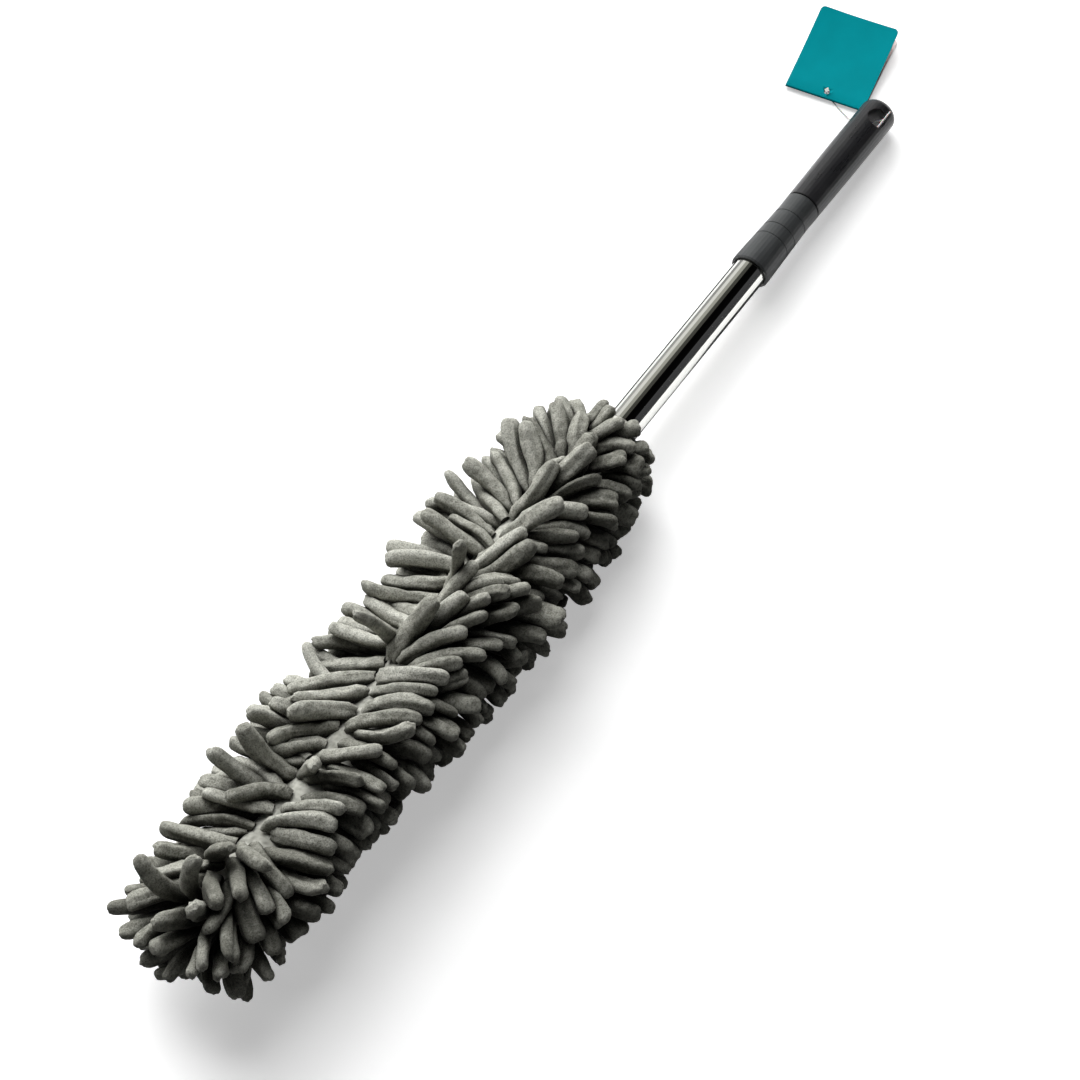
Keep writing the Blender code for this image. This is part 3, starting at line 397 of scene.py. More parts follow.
def body_roots():
    """Roots and directions of the fingers round the sleeve."""
    row, column = np.divmod(np.arange(ROWS * COLUMNS), COLUMNS)
    many = len(row)
    pitch = (SLEEVE_END - SLEEVE_START) / ROWS
    station = SLEEVE_START + pitch * (row + 0.5) + rng.normal(0.0, ROW_SPREAD, many) * pitch
    turn = (column + 0.5 * (row % 2) + rng.normal(0.0, COLUMN_SPREAD, many)) * TURN / COLUMNS
    angle = FAR_TURN + turn - FAR_CROWD * np.sin(turn)
    parting = PARTING_TURN + PARTING_WANDER * (np.sin(station / LONG_WAVE) + SHORT_WAVE_SHARE
                                               * np.sin(station / SHORT_WAVE))
    away = (angle - parting + math.pi) % TURN - math.pi
    width = np.where(away > 0.0, FAR_COMB_WIDTH, NEAR_COMB_WIDTH)
    flat = np.exp(-(away / width) ** 4)
    crossing = (np.abs(away) < CROSSING_WIDTH) & (rng.random(many) < CROSSING_SHARE)
    comb = COMB_TILT * np.sign(away) * flat * np.where(crossing, -1.0, 1.0)
    comb += rng.normal(0.0, COMB_SPREAD, many)
    drape = flat * np.where(away > 0.0, FAR_DRAPE, NEAR_DRAPE)
    from_start = (station - SLEEVE_START) / MM
    lean = np.where(away > 0.0, np.interp(from_start, *FAR_LEANS),
                    np.interp(from_start, *NEAR_LEANS)) * np.cos(away / 2.0)
    lean += SWAY * np.sin(station / SWAY_LENGTH + angle) + rng.normal(0.0, LEAN_SPREAD, many)
    lean = np.radians(lean + END_LEAN * np.exp((station - SLEEVE_END) / END_REACH))
    start = np.exp((SLEEVE_START - station) / START_REACH)
    stray = rng.random(many) < STRAY_SHARE
    comb = np.where(stray, comb * STRAY_COMB, comb)
    lean = np.where(stray, lean + rng.normal(0.0, STRAY_SPREAD, many), lean)
    out, side = side_directions(angle)
    aim = out * np.cos(comb)[:, None] + side * np.sin(comb)[:, None]
    aim = aim * np.cos(lean)[:, None] + np.array((0.0, 0.0, 1.0)) * np.sin(lean)[:, None]
    root = out * SLEEVE_RADIUS
    root[:, 2] = station
    farness = np.cos(angle - FAR_TURN)
    lengths = NOODLE_LENGTH + FAR_EXTRA * farness
    lengths -= END_TAPER * rise(from_start, *END_SPAN) * (1.0 - farness)
    lengths -= FAR_END_TAPER * rise(from_start, *FAR_END_SPAN) * farness.clip(0.0, 1.0)
    return root, aim, lengths * (1.0 - START_TAPER * start), -out * drape[:, None]


body = body_roots()
print("fingers round the sleeve:", len(body[0]))

# %% [markdown]
# ## Chenille fingers: the rounded end
# The sleeve's end is closed, and fingers stand on it too, in rings that get smaller
# towards the tip. They point outwards from the round end and a little ahead, as the
# photograph shows at the head's tip.

# %% Fingers on the rounded end
END_LENGTH = 32.0 * MM
# Each ring's share of a quarter turn, and how many fingers stand in it.
DOME_RINGS = ((0.22, 13), (0.5, 10), (0.76, 6), (1.0, 1))
DOME_SPREAD = 0.12
DOME_SIDEWAYS = 0.18
DOME_AHEAD = 0.25


def dome_roots():
    """Roots and directions of the fingers on the sleeve's rounded end."""
    roots, aims, lengths, drapes = [], [], [], []
    for turn_share, number in DOME_RINGS:
        tilt = turn_share * TURN / 4.0
        angle = (np.arange(number) + rng.random()) * TURN / number
        out, _ = side_directions(angle)
        root = out * SLEEVE_RADIUS * math.cos(tilt)
        root[:, 2] = SLEEVE_END + DOME_DEPTH * math.sin(tilt)
        aim = out * math.cos(tilt) + np.array((0.0, DOME_SIDEWAYS,
                                               math.sin(tilt) + DOME_AHEAD))
        roots.append(root)
        aims.append(aim + rng.normal(0.0, DOME_SPREAD, aim.shape))
        lengths.append(END_LENGTH + FAR_EXTRA * math.cos(tilt) * np.cos(angle - FAR_TURN))
        drapes.append(np.zeros_like(root))
    return tuple(np.concatenate(part) for part in (roots, aims, lengths, drapes))


tip = dome_roots()
print("fingers on the rounded end:", len(tip[0]))

# %% [markdown]
# ## Chenille fingers: each one's own size
# No two fingers are stuffed alike. Each gets its own length, thickness and bend. Those on
# the low near side carry the head's weight, so they are pressed fuller and flatter.

# %% Length, thickness and bend
LINKS = 8
NOODLE_RADIUS = 4.05 * MM
RADIUS_SPREAD = 0.10
RADIUS_LIMIT = 1.6
LENGTH_SPREAD = 2.4 * MM
LENGTH_LIMIT = 1.5
BEND_SPREAD = math.radians(5.0)
LOW_START = 0.35
LOW_SPAN = 0.65
LOW_FULLNESS = 0.18
FLATNESS = 0.16
LOW_FLATNESS = 0.34
FLATNESS_SPREAD = 0.12

root, aim, length, drape = (np.concatenate(pair) for pair in zip(body, tip))
aim /= np.linalg.norm(aim, axis=1, keepdims=True)
number = len(root)
length += LENGTH_SPREAD * rng.normal(0.0, 1.0, number).clip(-LENGTH_LIMIT, LENGTH_LIMIT)
bend = rng.normal(0.0, BEND_SPREAD, (number, 2))
thick = rng.normal(0.0, 1.0, number).clip(-RADIUS_LIMIT, RADIUS_LIMIT)
thick = NOODLE_RADIUS * (1.0 + RADIUS_SPREAD * thick)
side_of = np.arctan2(root[:, 1], root[:, 0]) - PARTING_TURN
low_side = np.clip(-np.sin(side_of) - LOW_START, 0.0, LOW_SPAN) / LOW_SPAN
squash = FLATNESS + LOW_FLATNESS * low_side + FLATNESS_SPREAD * rng.random(number)
thick *= 1.0 + LOW_FULLNESS * low_side
print("fingers:", number, "mean length", round(length.mean() / MM, 1), "mm")

# %% [markdown]
# ## Chenille fingers: how they settle
# Now the chains relax, a few hundred small steps in which every finger sags a little,
# keeps its length, resists bending, and is pushed out of its neighbours, the sleeve, the
# tube and the ground. They start thin and swell to full thickness, as if stuffed in place,
# so that a finger can slip between two others. Written with numpy it takes seconds.

# %% Pushing neighbours apart
PUSH = 0.42
PAIR_MARGIN = 1.6 * MM
TINY = 1e-9


def near_pairs(points, radius, chain):
    """Pairs of points of different chains that nearly touch."""
    order = np.argsort(points[:, 2], kind="stable")
    placed, limit = points[order], 2.0 * radius.max() + PAIR_MARGIN
    firsts, seconds = [], []
    for step in range(1, len(order)):
        gap = placed[step:] - placed[:-step]
        if gap[:, 2].min() > limit:
            break
        close = (gap ** 2).sum(1) < limit ** 2
        firsts.append(order[:-step][close])
        seconds.append(order[step:][close])
    first, second = np.concatenate(firsts), np.concatenate(seconds)
    apart = chain[first] != chain[second]
    return first[apart], second[apart]


def push_apart(points, radius, pairs):
    """Move overlapping points half way out of each other."""
    first, second = pairs
    gap = points[second] - points[first]
    distance = np.sqrt((gap ** 2).sum(1)) + TINY
    need = radius[first] + radius[second] - distance
    hit = need > 0.0
    move = gap[hit] * (need[hit] * PUSH / distance[hit])[:, None]
    for index in range(3):
        points[:, index] -= np.bincount(first[hit], move[:, index], len(points))
        points[:, index] += np.bincount(second[hit], move[:, index], len(points))


print("points can touch within", round((2.0 * thick.max() + PAIR_MARGIN) / MM, 1), "mm")

# %% Sleeve, tube and ground
TIP_INSET = 2.0 * MM
down = np.array(LAY.to_3x3().inverted() @ Vector((0.0, 0.0, -1.0)))


def core_radius(station):
    """Radius of what the fingers lie on: the tube, the hem's cone or the sleeve."""
    return np.interp(station, (TUBE_END, SLEEVE_START, SLEEVE_END, SLEEVE_END + DOME_DEPTH),
                     (TUBE_RADIUS, SLEEVE_RADIUS, SLEEVE_RADIUS, 0.0))


def keep_out(points, radius):
    """Push points out of the sleeve and the tube, and up from the ground."""
    across = np.sqrt(points[:, 0] ** 2 + points[:, 1] ** 2) + TINY
    wanted = core_radius(points[:, 2]) + radius
    grow = np.where(points[:, 2] < SLEEVE_END, np.maximum(1.0, wanted / across), 1.0)
    points[:, :2] *= grow[:, None]
    centre = np.array((0.0, 0.0, SLEEVE_END - TIP_INSET))
    from_tip = points - centre
    distance = np.sqrt((from_tip ** 2).sum(1)) + TINY
    ahead_of = (points[:, 2] >= SLEEVE_END) & (distance < SLEEVE_RADIUS - TIP_INSET + radius)
    scale = (SLEEVE_RADIUS - TIP_INSET + radius) / distance
    points[ahead_of] = centre + from_tip[ahead_of] * scale[ahead_of, None]
    height = points @ LAY_ARRAY[2, :3] + LAY_ARRAY[2, 3]
    lift = np.maximum(0.0, radius - height)
    points -= down[None, :] * lift[:, None]


print("fingers lie on a radius of", round(core_radius(SLEEVE_START) / MM, 1), "mm")

# %% Relaxing the chains
STEPS = 620
SWELL_SHARE = 0.6
SWELL_FROM = 0.45
SWELL_BY = 0.55
SAG = 0.055 * MM
STIFFNESS = 0.32
ROOT_STIFFNESS = 0.45
NEIGHBOUR_STEPS = 10
GIRTHS = ((0, 1, 2, LINKS - 1), (0.55, 0.92, 1.0, 1.0))
SKEW = np.array((0.31, 0.42, 0.85))
girth = np.interp(np.arange(LINKS), *GIRTHS)
reach = thick[:, None] * girth[None, :]
link = (length / (LINKS - 1))[:, None]


def settle(root, aim):
    """Relax the chains and return their points as (finger, link, 3)."""
    chains = root[:, None, :] + aim[:, None, :] * link[:, :, None] * np.arange(LINKS)[:, None]
    chain_of = np.repeat(np.arange(number), LINKS)
    across = np.cross(aim, SKEW)
    across /= np.linalg.norm(across, axis=1, keepdims=True)
    curl = across * bend[:, :1] + np.cross(aim, across) * bend[:, 1:] + drape
    for step in range(STEPS):
        swollen = min(1.0, SWELL_FROM + SWELL_BY * step / (SWELL_SHARE * STEPS))
        chains[:, 1:] += down * SAG
        wish = root + aim * link
        chains[:, 1] += (wish - chains[:, 1]) * ROOT_STIFFNESS
        for joint in range(2, LINKS):
            before = chains[:, joint - 1] - chains[:, joint - 2]
            wish = chains[:, joint - 1] + before + curl * link
            chains[:, joint] += (wish - chains[:, joint]) * STIFFNESS
        flat = chains.reshape(-1, 3)
        if step % NEIGHBOUR_STEPS == 0:
            pairs = near_pairs(flat, reach.ravel() * swollen, chain_of)
        push_apart(flat, reach.ravel() * swollen, pairs)
        keep_out(flat, reach.ravel() * swollen)
        chains[:, 0] = root
        for joint in range(1, LINKS):
            way = chains[:, joint] - chains[:, joint - 1]
            way *= link / (np.linalg.norm(way, axis=1, keepdims=True) + TINY)
            chains[:, joint] = chains[:, joint - 1] + way
    flat = chains.reshape(-1, 3)
    keep_out(flat, reach.ravel())
    chains[:, 0] = root
    return chains


chains = settle(root, aim)
spans = np.linalg.norm(chains[:, :, :2], axis=2)
print("head radius: mean of tips", round(spans[:, -1].mean() / MM, 1), "mm, largest",
      round(spans.max() / MM, 1), "mm")

# %% [markdown]
# ## Chenille fingers: their chains
# What repeats 400 times is a job for Geometry Nodes, so the settled chains go in as plain
# edges. Each point carries what its finger's skin needs to know: how far along it is, a
# shade, a girth, how flat the finger is, and how much painted light makes it paler on the
# far side. The points are crowded towards the tip, whose round end needs them.

# %% Chains as edges
FAR_LIGHT_FADE = 60.0 * MM
RING_SHARES = (0.0, 0.12, 0.26, 0.4, 0.54, 0.68, 0.8, 0.88, 0.94, 0.98, 1.0)


def smooth_points(chains, shares):
    """Points at shares of each chain, on a smooth curve through its links."""
    padded = np.concatenate([2 * chains[:, :1] - chains[:, 1:2], chains,
                             2 * chains[:, -1:] - chains[:, -2:-1]], axis=1)
    made = []
    for share in shares:
        spot = share * (LINKS - 1)
        index = min(int(spot), LINKS - 2)
        t = spot - index
        a, b, c, d = (padded[:, index + step] for step in range(4))
        made.append(0.5 * (2 * b + (c - a) * t + (2 * a - 5 * b + 4 * c - d) * t ** 2
                           + (3 * b - a - 3 * c + d) * t ** 3))
    return np.stack(made, axis=1)


def chain_mesh(name, lines, values):
    """A mesh of open polylines with point attributes."""
    many, rings = lines.shape[:2]
    edges = [(i * rings + j, i * rings + j + 1) for i in range(many)
             for j in range(rings - 1)]
    mesh = bpy.data.meshes.new(name)
    mesh.from_pydata(to_frame(lines.reshape(-1, 3)).tolist(), edges, [])
    for key, data in values.items():
        layer = mesh.attributes.new(key, "FLOAT", "POINT")
        layer.data.foreach_set("value", np.asarray(data, np.float32).ravel())
    return mesh


lines = smooth_points(chains, RING_SHARES)
along = np.broadcast_to(np.array(RING_SHARES), lines.shape[:2])
shade = np.broadcast_to(rng.random(number)[:, None], lines.shape[:2])
girths = np.broadcast_to(thick[:, None], lines.shape[:2])
flats = np.broadcast_to(squash[:, None], lines.shape[:2])
# Painted light: fingers on the far side get a paler colour, which fades out near the tip.
far_side_light = rise(root[:, 1], 0.0, SLEEVE_RADIUS)
far_side_light *= rise(SLEEVE_END - root[:, 2], 0.0, FAR_LIGHT_FADE)
pale = np.broadcast_to(far_side_light[:, None], lines.shape[:2])
noodle_mesh = chain_mesh("chenille_fingers", lines, {
    "along": along, "shade": shade, "girth": girths, "squash": flats, "pale": pale})
noodles = bpy.data.objects.new("chenille_fingers", noodle_mesh)
bpy.context.scene.collection.objects.link(noodles)
print("chain points:", len(noodle_mesh.vertices))

# %% [markdown]
# ## Chenille
# Chenille microfiber is a deep pile of split polyester threads. It has no shine of its
# own, only a pale bloom where the pile is seen edge on, which Principled's sheen gives,
# and blotches where the pile lies one way or the other. On the far side the colour is made
# paler by a share of painted light, which fades out near the tip. Between two fingers the
# colour is darkened nearly to black by painted shade, which Ambient Occlusion places in the
# gaps, and lifted a little on the far side. The pile is drawn about 0.8 mm wide, coarser
# than real threads, so that it shows at this size.

# %% Chenille material
PILE_SIZE = 0.8 * MM
BLOTCH_SIZE = 4.0 * MM
BLOTCH_SHARE = 0.75
SHADE_LOW, SHADE_HIGH = -0.10, 0.16
# Painted light: how much the far side's colour is lifted, and how much its painted shade between
# fingers is lifted.
FAR_LIGHT_LIFT = 0.22
FAR_SHADE_LIFT = 0.12
PILE_SHARE = 0.75
# How far Ambient Occlusion looks for the painted shade between fingers.
PAINTED_SHADE_REACH = 28.0 * MM

chenille, tree, shader, place = surface("chenille_microfiber_tufted", {
    "Roughness": 0.95, "Sheen Weight": 0.2, "Sheen Roughness": 0.5,
    "Sheen Tint": colour("#d9d8cc"), "Specular IOR Level": 0.15})
pile = add(tree, NOISE, {"Vector": place, "Scale": 1.0 / PILE_SIZE, "Detail": 3.0,
                         "Roughness": 0.65})
blotch = add(tree, NOISE, {"Vector": place, "Scale": 1.0 / BLOTCH_SIZE, "Detail": 3.0,
                           "Roughness": 0.6})
shade_of, far_light_of = (add(tree, "ShaderNodeAttribute", attribute_name=name).outputs["Fac"]
                     for name in ("shade", "pale"))
mixed = add(tree, RANGE, {"Value": shade_of, "To Min": SHADE_LOW, "To Max": SHADE_HIGH})
mixed = add(tree, MATH, {0: blotch, 1: BLOTCH_SHARE, 2: mixed}, operation="MULTIPLY_ADD")
# Painted light: the far side's colour is lifted.
mixed = add(tree, MATH, {0: far_light_of, 1: FAR_LIGHT_LIFT, 2: mixed}, operation="MULTIPLY_ADD")
tone = add(tree, RAMP, {"Fac": mixed}, [(0.30, "#8c8c83"), (0.50, "#b9b9af"),
                                        (0.70, "#dcdcd2")])
# Painted shade: Ambient Occlusion darkens the colour between fingers nearly to black, a little
# less on the far side.
gap = add(tree, "ShaderNodeAmbientOcclusion", {"Distance": PAINTED_SHADE_REACH}, samples=6)
gap = add(tree, MATH, {0: far_light_of, 1: FAR_SHADE_LIFT, 2: gap.outputs["AO"]},
          operation="MULTIPLY_ADD")
gap = add(tree, RAMP, {"Fac": gap}, [(0.15, "#070706"), (0.45, "#848480"),
                                     (0.76, "#ffffff")])
tone = add(tree, "ShaderNodeMix", {0: 1.0, 6: tone, 7: gap}, data_type="RGBA",
           blend_type="MULTIPLY").outputs[2]
hairs = add(tree, RAMP, {"Fac": pile}, [(0.32, "#868680"), (0.56, "#ffffff")])
tone = add(tree, "ShaderNodeMix", {0: PILE_SHARE, 6: tone, 7: hairs}, data_type="RGBA",
           blend_type="MULTIPLY").outputs[2]
rough = add(tree, BUMP, {"Height": pile, "Strength": 0.8, "Distance": 0.6 * MM})
soft = add(tree, BUMP, {"Height": blotch, "Strength": 0.5, "Distance": 1.2 * MM,
                        "Normal": rough})
feed(shader, {"Base Color": tone, "Normal": soft})
print("made", chenille.name)

# %% [markdown]
# ## Chenille fingers: their skin
# A finger is a tube along its chain, pinched where it is sewn and round at its tip. The
# tree gives each chain a radius and a section with a set number of sides. Each point of the
# section stores its angle, which later places the oval and the creases. Sides, creases and
# lumps are the tree's own named sizes, so they can be changed in one place. The modifier
# takes them by each socket's identifier.

# %% Geometry Nodes tree for the fingers
FINGER_SIZES = {"Sides": 16, "Crease Count": 1.4, "Crease Depth": 1.5,
                "Lump Size": 8.0 * MM, "Lump Height": 1.5 * MM, "Seed": 3.0}
FINGER_PROFILE = ((0.0, 0.75), (0.12, 0.9), (0.4, 0.97), (0.7, 1.02), (0.88, 0.96),
                  (0.96, 0.76), (1.0, 0.32))
SECTION_RADIUS = 1.08
MARKS = ("along", "shade", "girth", "squash", "turn")


def new_tree(name, sizes):
    """A Geometry Nodes tree with a geometry input, named sizes and a geometry output."""
    tree = bpy.data.node_groups.new(name, "GeometryNodeTree")
    tree.interface.new_socket("Geometry", in_out="INPUT", socket_type="NodeSocketGeometry")
    for label, size in sizes.items():
        kind = "NodeSocketInt" if isinstance(size, int) else "NodeSocketFloat"
        socket = tree.interface.new_socket(label, in_out="INPUT", socket_type=kind)
        socket.default_value = size
    tree.interface.new_socket("Geometry", in_out="OUTPUT", socket_type="NodeSocketGeometry")
    return tree, add(tree, "NodeGroupInput").outputs, add(tree, "NodeGroupOutput")


def run_tree(obj, tree, sizes):
    """Evaluate a tree on an object, and keep the result as the object's plain mesh."""
    modifier = obj.modifiers.new(tree.name, "NODES")
    modifier.node_group = tree
    for item in tree.interface.items_tree:
        if item.in_out == "INPUT" and item.name in sizes:
            modifier[item.identifier] = sizes[item.name]
    depsgraph = bpy.context.evaluated_depsgraph_get()
    mesh = bpy.data.meshes.new_from_object(obj.evaluated_get(depsgraph),
                                           preserve_all_data_layers=True,
                                           depsgraph=depsgraph)
    obj.modifiers.clear()
    mesh.name = obj.name
    obj.data = mesh


skin, given, out = new_tree("finger_skin", FINGER_SIZES)
mark = {name: add(skin, "GeometryNodeInputNamedAttribute", {"Name": name}, data_type="FLOAT")
        for name in MARKS}
curve = add(skin, "GeometryNodeMeshToCurve", {"Mesh": given["Geometry"]})
tilt = add(skin, MATH, {0: mark["shade"], 1: TURN}, operation="MULTIPLY")
curve = add(skin, "GeometryNodeSetCurveTilt", {"Curve": curve, "Tilt": tilt})
profile = add(skin, "ShaderNodeFloatCurve", {"Value": mark["along"]})
points = profile.mapping.curves[0].points
for place, height in FINGER_PROFILE[1:-1]:
    points.new(place, height)
points[0].location, points[-1].location = FINGER_PROFILE[0], FINGER_PROFILE[-1]
profile.mapping.update()
radius = add(skin, MATH, {0: profile, 1: mark["girth"]}, operation="MULTIPLY")
section = add(skin, "GeometryNodeCurvePrimitiveCircle",
              {"Resolution": given["Sides"], "Radius": SECTION_RADIUS}, mode="RADIUS")
share = add(skin, MATH, {0: add(skin, "GeometryNodeInputIndex"), 1: given["Sides"]},
            operation="DIVIDE")
share = add(skin, MATH, {0: share, 1: TURN}, operation="MULTIPLY")
section = add(skin, "GeometryNodeStoreNamedAttribute", {
    "Geometry": section, "Name": "turn", "Value": share}, data_type="FLOAT", domain="POINT")
tube = add(skin, "GeometryNodeCurveToMesh", {
    "Curve": curve, "Profile Curve": section, "Scale": radius, "Fill Caps": True})
print("skin tree:", len(skin.nodes), "nodes")

# %% [markdown]
# ## Chenille fingers: oval, creases and lumps
# Pressed fingers aren't round. Each point of the skin moves along its normal by the sum of
# three things: an oval that makes the finger flatter, creases along it where the pile and
# its stuffing fold, and lumps where the stuffing gathers. Noise gives the last two. For the
# creases its fourth dimension is the finger's shade, so that no two fingers crease alike.
# The finished skin rides on the pole, and stands for the solid sleeve slices of the CAD.

# %% Oval, creases and lumps
ALONG_PACE = 1.2
SHADE_PACE = 60.0

double = add(skin, MATH, {0: mark["turn"], 1: 2.0}, operation="MULTIPLY")
oval = add(skin, MATH, {0: double}, operation="COSINE")
oval = add(skin, MATH, {0: oval, 1: -0.5, 2: -0.5}, operation="MULTIPLY_ADD")
oval = add(skin, MATH, {0: oval, 1: mark["squash"]}, operation="MULTIPLY")
around = add(skin, "ShaderNodeCombineXYZ", {
    "X": add(skin, MATH, {0: mark["turn"]}, operation="COSINE"),
    "Y": add(skin, MATH, {0: mark["turn"]}, operation="SINE"),
    "Z": add(skin, MATH, {0: mark["along"], 1: ALONG_PACE}, operation="MULTIPLY")})
own = add(skin, MATH, {0: mark["shade"], 1: SHADE_PACE}, operation="MULTIPLY")
crease = add(skin, NOISE, {"Vector": around, "W": own, "Scale": given["Crease Count"],
                           "Detail": 1.0}, noise_dimensions="4D")
crease = add(skin, MATH, {0: crease, 1: 0.5}, operation="SUBTRACT")
crease = add(skin, MATH, {0: crease, 1: given["Crease Depth"]}, operation="MULTIPLY")
scale = add(skin, MATH, {0: 1.0, 1: given["Lump Size"]}, operation="DIVIDE")
lump = add(skin, NOISE, {"W": given["Seed"], "Scale": scale, "Detail": 1.0},
           noise_dimensions="4D")
lump = add(skin, MATH, {0: lump, 1: 0.5}, operation="SUBTRACT")
lump = add(skin, MATH, {0: lump, 1: given["Lump Height"]}, operation="MULTIPLY")
height = add(skin, MATH, {0: oval, 1: crease}, operation="ADD")
height = add(skin, MATH, {0: height, 1: radius, 2: lump}, operation="MULTIPLY_ADD")
push = add(skin, "ShaderNodeVectorMath", {0: add(skin, "GeometryNodeInputNormal"),
                                          "Scale": height}, operation="SCALE")
moved = add(skin, "GeometryNodeSetPosition", {"Geometry": tube, "Offset": push})
smooth = add(skin, "GeometryNodeSetShadeSmooth", {"Geometry": moved})
real = add(skin, "GeometryNodeRealizeInstances", {"Geometry": smooth})
dressed = add(skin, "GeometryNodeSetMaterial", {"Geometry": real, "Material": chenille})
feed(out, {"Geometry": dressed})
run_tree(noodles, skin, FINGER_SIZES)
print("finger faces:", len(noodles.data.polygons))
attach(noodles, "pole")
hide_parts(*[name for name in nodes if name.startswith("noodle_sleeve")])

# %% [markdown]
# ## Round soft parts
# The sleeve, its hem, the elastic and the foam are all round about the duster's axis. One
# function turns a closed outline into such a piece, and a small wave may move each point
# in or out, so that cloth gathers and elastic shows its ribs.

# %% Turned pieces
MERGE = 0.001 * MM


def mesh_piece(name, solid, material, smooth_angle=40.0):
    """A bmesh as an object at the origin, with its faces outwards."""
    bmesh.ops.remove_doubles(solid, verts=solid.verts, dist=MERGE)
    bmesh.ops.recalc_face_normals(solid, faces=solid.faces)
    mesh = bpy.data.meshes.new(name)
    solid.to_mesh(mesh)
    solid.free()
    mesh.shade_smooth()
    mesh.set_sharp_from_angle(angle=math.radians(smooth_angle))
    mesh.materials.append(material)
    obj = bpy.data.objects.new(name, mesh)
    bpy.context.scene.collection.objects.link(obj)
    return obj


def turned(outline, steps, wave=None):
    """Turn a closed (station, radius) outline about the duster's axis."""
    solid = bmesh.new()
    rings = []
    for index in range(steps):
        angle = TURN * index / steps
        row = []
        for station, radius in outline:
            r = radius + (wave(angle, station) if wave else 0.0)
            place = Vector((r * math.cos(angle), r * math.sin(angle), station))
            row.append(solid.verts.new(LAY @ place))
        rings.append(row)
    for index, row in enumerate(rings):
        after = rings[(index + 1) % steps]
        for spot in range(len(row)):
            other = (spot + 1) % len(row)
            solid.faces.new((row[spot], row[other], after[other], after[spot]))
    bmesh.ops.dissolve_degenerate(solid, edges=solid.edges, dist=MERGE)
    return solid


def dome(radius, depth, start, steps=6):
    """Outline of a rounded end, from its rim to its tip."""
    return [(start + depth * math.sin(TURN / 4.0 * step / steps),
             radius * math.cos(TURN / 4.0 * step / steps)) for step in range(steps + 1)]


print("turned pieces: points closer than", MERGE / MM, "mm become one")

# %% [markdown]
# ## The knitted sleeve
# Under the fingers is a knitted tube with a rounded, sewn end. Little of it shows, mostly
# along the parting, where it is paler than the fingers. It is one outline turned about the
# duster's axis, with an inner wall, so that it is a closed sheet as the real cloth is. A
# wave texture draws its ribs. At scale 1 it makes 20 waves over a length of 6.28, which
# gives the scale for a rib's width. Ribs are twice as coarse as real ones so that they show.

# %% Knitted sleeve
RIB_PITCH = 2.771 * MM
WAVE_BANDS = 20.0
WEAR_SIZE = 5.0 * MM
SLEEVE_RINGS = 30
SLEEVE_SIDES = 48
RIM_INSET = 0.3 * MM
SWELL_HEIGHT = 0.25 * MM
SWELL_COUNT = 9.0
SWELL_LENGTH = 7.0 * MM
SWELL_STOP = 5.0 * MM

knit, tree, shader, place = surface("polyester_knit_backing", {
    "Roughness": 0.9, "Sheen Weight": 0.2, "Specular IOR Level": 0.2})
rib = add(tree, "ShaderNodeTexWave", {
    "Vector": place, "Scale": TURN / (WAVE_BANDS * RIB_PITCH), "Distortion": 1.5,
    "Detail": 1.0}, wave_type="BANDS", bands_direction="X")
wear = add(tree, NOISE, {"Vector": place, "Scale": 1.0 / WEAR_SIZE})
tone = add(tree, RAMP, {"Fac": wear}, [(0.3, "#8f8f86"), (0.7, "#d2d2c8")])
relief = add(tree, BUMP, {"Height": rib.outputs["Fac"], "Strength": 0.6,
                          "Distance": 0.3 * MM})
feed(shader, {"Base Color": tone, "Normal": relief})


def swell(angle, station):
    """Shallow hollows and swellings, which end before the rounded tip."""
    if station >= SLEEVE_END - SWELL_STOP:
        return 0.0
    return SWELL_HEIGHT * math.sin(SWELL_COUNT * angle) * math.sin(station / SWELL_LENGTH)


bore = SLEEVE_RADIUS - SLEEVE_WALL
outer = [(SLEEVE_START + RIM_INSET + (SLEEVE_END - SLEEVE_START) * i / SLEEVE_RINGS,
          SLEEVE_RADIUS) for i in range(SLEEVE_RINGS)]
outer += dome(SLEEVE_RADIUS, DOME_DEPTH, SLEEVE_END)
inner = [(outer[0][0], bore)] + dome(bore, DOME_DEPTH - SLEEVE_WALL, SLEEVE_END)
sleeve = mesh_piece("knitted_sleeve", turned(outer + inner[::-1], SLEEVE_SIDES, swell), knit)
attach(sleeve, "pole")
print("sleeve faces:", len(sleeve.data.polygons))

# %% [markdown]
# ## Hem and elastic
# At the open end the sleeve is gathered by an elastic band round the socket's neck. The
# gathers are folds that run along the duster and fade towards the full width. A wave
# added to the turned outline gives them, and a ribbed ring is the band. Braided black
# elastic is matt, and its threads show only as a faint unevenness.

# %% Hem and elastic
HEM_START = 273.6 * MM
HEM_NECK = 276.3 * MM
HEM_WALL = 1.2 * MM
HEM_NECK_BORE = 10.9 * MM
HEM_SIDES = 96
HEM_SHARPNESS = 60.0
GATHERS = 16
GATHER_DEPTH = 0.45 * MM
ELASTIC_RADIUS = 0.9 * MM
ELASTIC_GAP = 0.3 * MM
ELASTIC_SIDES = 10
ELASTIC_STEPS = 144
ELASTIC_RIBS = 48
RIB_DEPTH = 0.08 * MM
THREAD_SIZE = 0.5 * MM

hem_outline = [(HEM_START, HEM_NECK_BORE + HEM_WALL), (HEM_NECK, HEM_NECK_BORE + HEM_WALL)]
hem_outline += [(HEM_NECK + (SLEEVE_START - HEM_NECK) * share,
                 HEM_NECK_BORE + HEM_WALL + (SLEEVE_RADIUS - HEM_NECK_BORE - HEM_WALL)
                 * math.sin(TURN / 4.0 * share)) for share in (0.25, 0.5, 0.75, 1.0)]
hem_outline += [(station, radius - HEM_WALL) for station, radius in hem_outline[::-1]]


def gather(angle, station):
    """Folds that are deepest half way up the hem."""
    height = (station - HEM_START) / (SLEEVE_START - HEM_START)
    return GATHER_DEPTH * math.sin(GATHERS * angle) * math.sin(math.pi * height)


